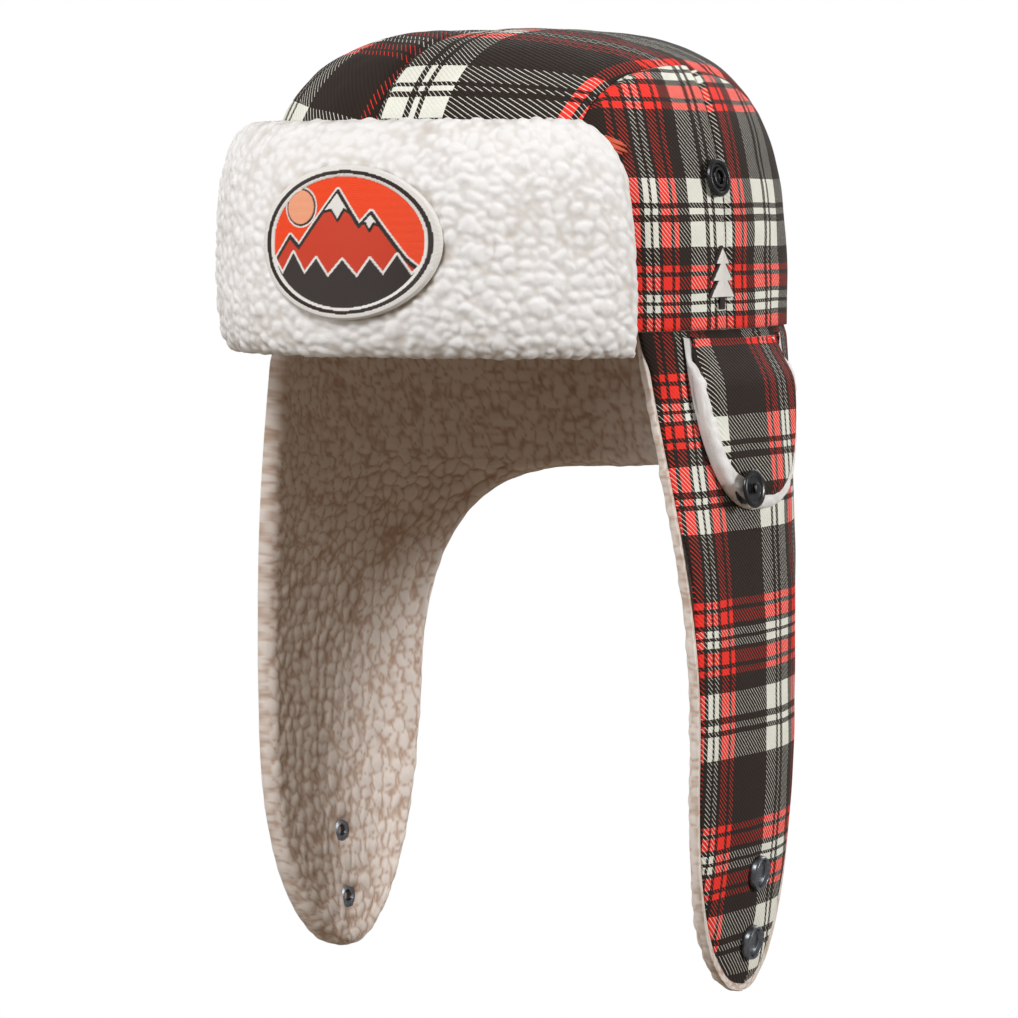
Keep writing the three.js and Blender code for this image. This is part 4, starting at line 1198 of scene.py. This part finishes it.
STITCH_ROW = 0.42
x, y, ring = square_grid(230, 210)
mx, my = x * EMBLEM_WIDTH / 2, y * EMBLEM_HEIGHT / 2
rim_gap = (1 - ring) * (EMBLEM_WIDTH + EMBLEM_HEIGHT) / 4
mountain = [(-40, -17), (-25, 2), (-20.5, -2), (-3, 19), (7, 6), (12, 11), (26, -6), (40, -17)]
snow = [(-9.6, 11.2), (-3, 19), (3.6, 10.6), (0.4, 12.2), (-2.4, 8.0), (-5.4, 12.0)]
small_snow = [(8.2, 7.0), (12, 11), (16.2, 6.0), (13.4, 7.0), (11.6, 4.2), (9.8, 7.2)]
pine_row = [(-40, -14), (-33, -6), (-28.5, -12), (-23, -4), (-17.5, -12), (-12, -6), (-6.5, -13), (0, -6.5),
            (6.5, -13), (12, -6), (17.5, -12), (23, -4.5), (28.5, -12), (34, -7), (40, -14), (20, -30),
            (-20, -30)]
sun_gap = np.hypot(mx + 20, my - 13)
in_mountain = inside_polygon(mx, my, mountain)
in_snow = inside_polygon(mx, my, snow) | inside_polygon(mx, my, small_snow)
in_pines = inside_polygon(mx, my, pine_row)
in_sun = sun_gap < 6.3
edges = np.minimum(line_gap(mx, my, snow), line_gap(mx, my, small_snow))
border = rim_gap < 5.4
layers = [
    (sun_gap < 7.6, "white"), (sun_gap < 7.0, "brown"), (in_sun, "sun"),
    (line_gap(mx, my, mountain) < 1.5, "white"), (in_mountain, "rust"),
    (line_gap(mx, my, mountain) < 0.75, "brown"), (in_snow, "white"), (edges < 0.5, "brown"),
    (line_gap(mx, my, pine_row) < 0.9, "white"), (in_pines, "brown"),
    (border, "white"), (rim_gap < 4.2, "brown"), (rim_gap < 2.6, "white"),
]
colour = painted(mx.shape, layers)
bearing = np.arctan2(my, mx)
stitch_run = np.where(border, bearing * 34, np.where(in_mountain | in_pines, mx * 0.8 + my * 0.6, my))
stitch = np.stack([stitch_run * 2 * math.pi / STITCH_ROW, mx, my], -1)
height = 0.25 + 0.7 * np.sqrt(np.clip(1 - ((rim_gap - 2.7) / 2.8) ** 2, 0, 1))
height = height + 0.3 * (in_mountain & ~in_pines) + 0.25 * in_snow + 0.3 * in_pines + 0.35 * in_sun
height = height + 0.1 * np.sin(stitch[..., 0]) * np.clip(rim_gap, 0, 1)
height = height * np.clip(rim_gap / 0.8, 0.1, 1)
# Each point's turn is found step by step, until it stands over its place across the visor.
badge_z = my + EMBLEM_RISE
badge_turn = 0 * mx
for _ in range(12):
    spot = crown_point(badge_turn, badge_z, visor_thickness(badge_turn / VISOR_HALF_TURN, badge_z))
    badge_turn = badge_turn + np.degrees((mx + EMBLEM_MIDDLE - spot[..., 0]) / 150)
spot = crown_point(badge_turn, badge_z, visor_thickness(badge_turn / VISOR_HALF_TURN, badge_z) + 0.2)
badge_out = facing(spot, grid_normals(spot), np.zeros(3))
badge_piece("visor_oval_patch", spot, badge_out, height, 1.2, colour, stitch, "visor_emblem")

# The small pine is stitched row by row, wider and narrower as its branches go. Each branch corner is its
# height from -1 to 1 and its half width.
pine_low, pine_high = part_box("side_emblem")
PINE_WIDTH = (pine_high[1] - pine_low[1]) * 1000
PINE_HEIGHT = (pine_high[2] - pine_low[2]) * 1000
PINE_MIDDLE = (pine_high[1] + pine_low[1]) * 500
PINE_RISE = (pine_high[2] + pine_low[2]) * 500
BRANCHES = [(1.0, 0.04), (0.42, 0.6), (0.42, 0.3), (-0.1, 0.82), (-0.1, 0.44), (-0.62, 0.99), (-0.62, 0.2),
            (-1.0, 0.2)]
levels = np.linspace(-1, 1, 190)
bands = sorted(BRANCHES)
half = np.interp(levels, [b[0] + 0.002 * k for k, b in enumerate(bands)], [b[1] for b in bands])
u = np.linspace(-1, 1, 46)[None, :]
mx = u * half[:, None] * PINE_WIDTH / 2 * 0.96
my = levels[:, None] * PINE_HEIGHT / 2 * 0.96 + 0 * u
pine_turn = 90 + 0 * mx
for _ in range(12):
    spot = crown_point(pine_turn, my + PINE_RISE, 0.0)
    pine_turn = pine_turn + np.degrees((mx + PINE_MIDDLE - spot[..., 1]) / 130)
spot = crown_point(pine_turn, my + PINE_RISE, 0.35)
edge_in = (1 - np.abs(u)) * half[:, None] * PINE_WIDTH / 2
tip_in = (1 - np.abs(levels[:, None])) * PINE_HEIGHT / 2 + 0 * u
near_edge = np.minimum(edge_in, tip_in)
colour = painted(mx.shape, [(near_edge > -1, "white"), (near_edge < 1.3, "brown")])
stitch = np.stack([(my + 0.5 * np.abs(mx)) * 2 * math.pi / STITCH_ROW, mx, my], -1)
colour[levels < -0.6] = RAYONS["brown"]
height = 0.25 + 0.6 * np.sqrt(np.clip(near_edge / 2.5, 0, 1)) + 0.08 * np.sin(stitch[..., 0])
badge_piece("crown_side_pine", spot, facing(spot, grid_normals(spot), np.zeros(3)), height, 0.1, colour,
            stitch, "side_emblem")


# ---- Snaps ----
# Spring snaps of pressed brass: painted black on the crown and the hatches, plated gunmetal on the flaps.
# Each has an outer part and a flanged post behind the cloth, riveted together through it.
SNAP_TURNS = 72
SNAP_SUNK = 1.2
# The outlines are (radius, height) as shares of a part's own radius and thickness, from the middle out.
SOCKET = [(0.0, 0.3), (0.16, 0.3), (0.2, 0.42), (0.34, 0.42), (0.37, 0.84), (0.42, 0.95), (0.5, 0.93),
          (0.54, 0.72), (0.58, 0.62), (0.68, 0.62), (0.74, 0.86), (0.8, 0.97), (0.88, 1.0), (0.95, 0.9),
          (1.0, 0.66), (1.0, 0.45), (0.94, 0.34), (0.5, 0.3)]
STUD = [(0.0, 1.0), (0.2, 1.0), (0.27, 0.96), (0.3, 0.86), (0.26, 0.74), (0.26, 0.46), (0.46, 0.42),
        (0.6, 0.44), (0.7, 0.62), (0.8, 0.7), (0.9, 0.68), (0.97, 0.58), (1.0, 0.42), (0.97, 0.3),
        (0.9, 0.24), (0.5, 0.22)]
CAP = [(0.0, 0.86), (0.5, 0.84), (0.7, 0.82), (0.75, 0.9), (0.82, 0.99), (0.9, 1.0), (0.96, 0.92),
       (1.0, 0.76), (0.99, 0.62), (0.93, 0.54), (0.5, 0.5)]
POST = [(0.0, 0.62), (0.22, 0.62), (0.3, 0.94), (0.38, 1.0), (0.62, 0.96), (0.85, 0.9), (0.97, 0.82),
        (1.0, 0.74), (0.95, 0.68), (0.4, 0.66)]


def snap_metal(name, colour, roughness, metallic, worn):
    """Pressed brass under paint or plating, with the finest brushing and a few dull spots."""
    made, tree, shader = new_material(name)
    place = add_node(tree, "ShaderNodeTexCoord")
    spots = add_node(tree, "ShaderNodeTexNoise", [("Vector", place.outputs["Object"])], Scale=700.0,
                     Detail=4.0)
    tone = add_node(tree, "ShaderNodeValToRGB", [(0, spots.outputs[0])])
    tone.color_ramp.elements[0].color = linear(colour)
    tone.color_ramp.elements[0].position = 0.45
    tone.color_ramp.elements[1].color = linear(worn)
    tone.color_ramp.elements[1].position = 0.8
    tree.links.new(tone.outputs[0], shader.inputs["Base Color"])
    dull = add_node(tree, "ShaderNodeMapRange", [("Value", spots.outputs[0])])
    dull.inputs["To Min"].default_value = roughness - 0.08
    dull.inputs["To Max"].default_value = roughness + 0.12
    tree.links.new(dull.outputs[0], shader.inputs["Roughness"])
    shader.inputs["Metallic"].default_value = metallic
    return made


black_metal = snap_metal("black_painted_brass", "0b0b0c", 0.26, 0.0, "1a1a1b")
grey_metal = snap_metal("gunmetal_plated_brass", "6c6e72", 0.28, 1.0, "8b8d91")


def snap_axis(node, sign):
    """The middle, the way out of the hat and the reach of a round part, from its frame node."""
    found = bpy.data.objects[node]
    points = np.array([list(found.matrix_world @ v.co) for v in found.data.vertices]) * 1000
    middle = (points.min(0) + points.max(0)) / 2
    spin = np.linalg.svd(points - points.mean(0), full_matrices=False)[2]
    way = spin[np.argmin([np.ptp((points - middle) @ s) for s in spin])]
    way = way * np.sign(way[0] * sign)
    rise = (points - middle) @ way
    across = np.linalg.norm((points - middle) - rise[:, None] * way, axis=1)
    return middle, way, rise.min(), rise.max(), across.max()


def snap_piece(node, sign, outline, metal, body, facing_out=True, sunk=0.0):
    """A round pressing spun from its outline in its node's place, sunk millimetres into the pile."""
    middle, way, low, high, radius = snap_axis(node, sign)
    if not facing_out:
        way, low, high = -way, -high, -low
    middle = middle - way * sunk
    side = np.cross(way, (0, 0, 1))
    side /= np.linalg.norm(side)
    up = np.cross(side, way)
    # Rounded by a smooth curve through the outline's corners.
    step = np.linspace(0, len(outline) - 1, 6 * len(outline))
    corners = np.array(outline)
    smooth = np.stack([np.interp(step, range(len(outline)), corners[:, k]) for k in range(2)], -1)
    for _ in range(2):
        smooth[1:-1] = (smooth[:-2] + 2 * smooth[1:-1] + smooth[2:]) / 4
    a = np.linspace(0, 2 * math.pi, SNAP_TURNS, endpoint=False)
    rim = np.cos(a)[:, None] * side + np.sin(a)[:, None] * up
    rings = [middle + way * (low + (high - low) * h) + rim * max(r, 0.004) * radius for r, h in smooth]
    points = np.concatenate(rings)
    faces = []
    for i in range(len(rings) - 1):
        for k in range(SNAP_TURNS):
            b, c = i * SNAP_TURNS + k, i * SNAP_TURNS + (k + 1) % SNAP_TURNS
            faces.append((b, c, c + SNAP_TURNS, b + SNAP_TURNS))
    last = (len(rings) - 1) * SNAP_TURNS
    faces.append(tuple(range(SNAP_TURNS)))
    faces.append(tuple(range(last, last + SNAP_TURNS)))
    mesh = bpy.data.meshes.new(node + "_pressing")
    mesh.from_pydata((points / 1000).tolist(), [], faces)
    closed = bmesh.new()
    closed.from_mesh(mesh)
    bmesh.ops.recalc_face_normals(closed, faces=closed.faces)
    closed.to_mesh(mesh)
    closed.free()
    mesh.shade_smooth()
    piece = bpy.data.objects.new(node + "_pressing", mesh)
    bpy.context.collection.objects.link(piece)
    piece.data.materials.append(metal)
    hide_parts(node)
    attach(piece, body)
    return piece


for side, sign in (("left", 1), ("right", -1)):
    snap_piece(f"{side}_crown_snap_socket", sign, SOCKET, black_metal, "crown")
    snap_piece(f"{side}_hatch_snap_stud", sign, STUD, black_metal, f"{side}_hatch")
for level in ("upper", "lower"):
    snap_piece(f"left_flap_{level}_cap", 1, CAP, grey_metal, "left_flap")
    snap_piece(f"left_flap_{level}_socket", 1, SOCKET, grey_metal, "left_flap", False,
               SNAP_SUNK)
    snap_piece(f"right_flap_{level}_stud", -1, STUD, grey_metal, "right_flap")
    snap_piece(f"right_flap_{level}_post", -1, POST, grey_metal, "right_flap", False,
               SNAP_SUNK)
# The posts of the crown's and the hatches' snaps are hidden in the pile, and keep their plain shape.
for side in ("left", "right"):
    for node in (f"{side}_crown_snap_post", f"{side}_hatch_snap_post"):
        bpy.data.objects[node].data.materials.clear()
        bpy.data.objects[node].data.materials.append(black_metal)
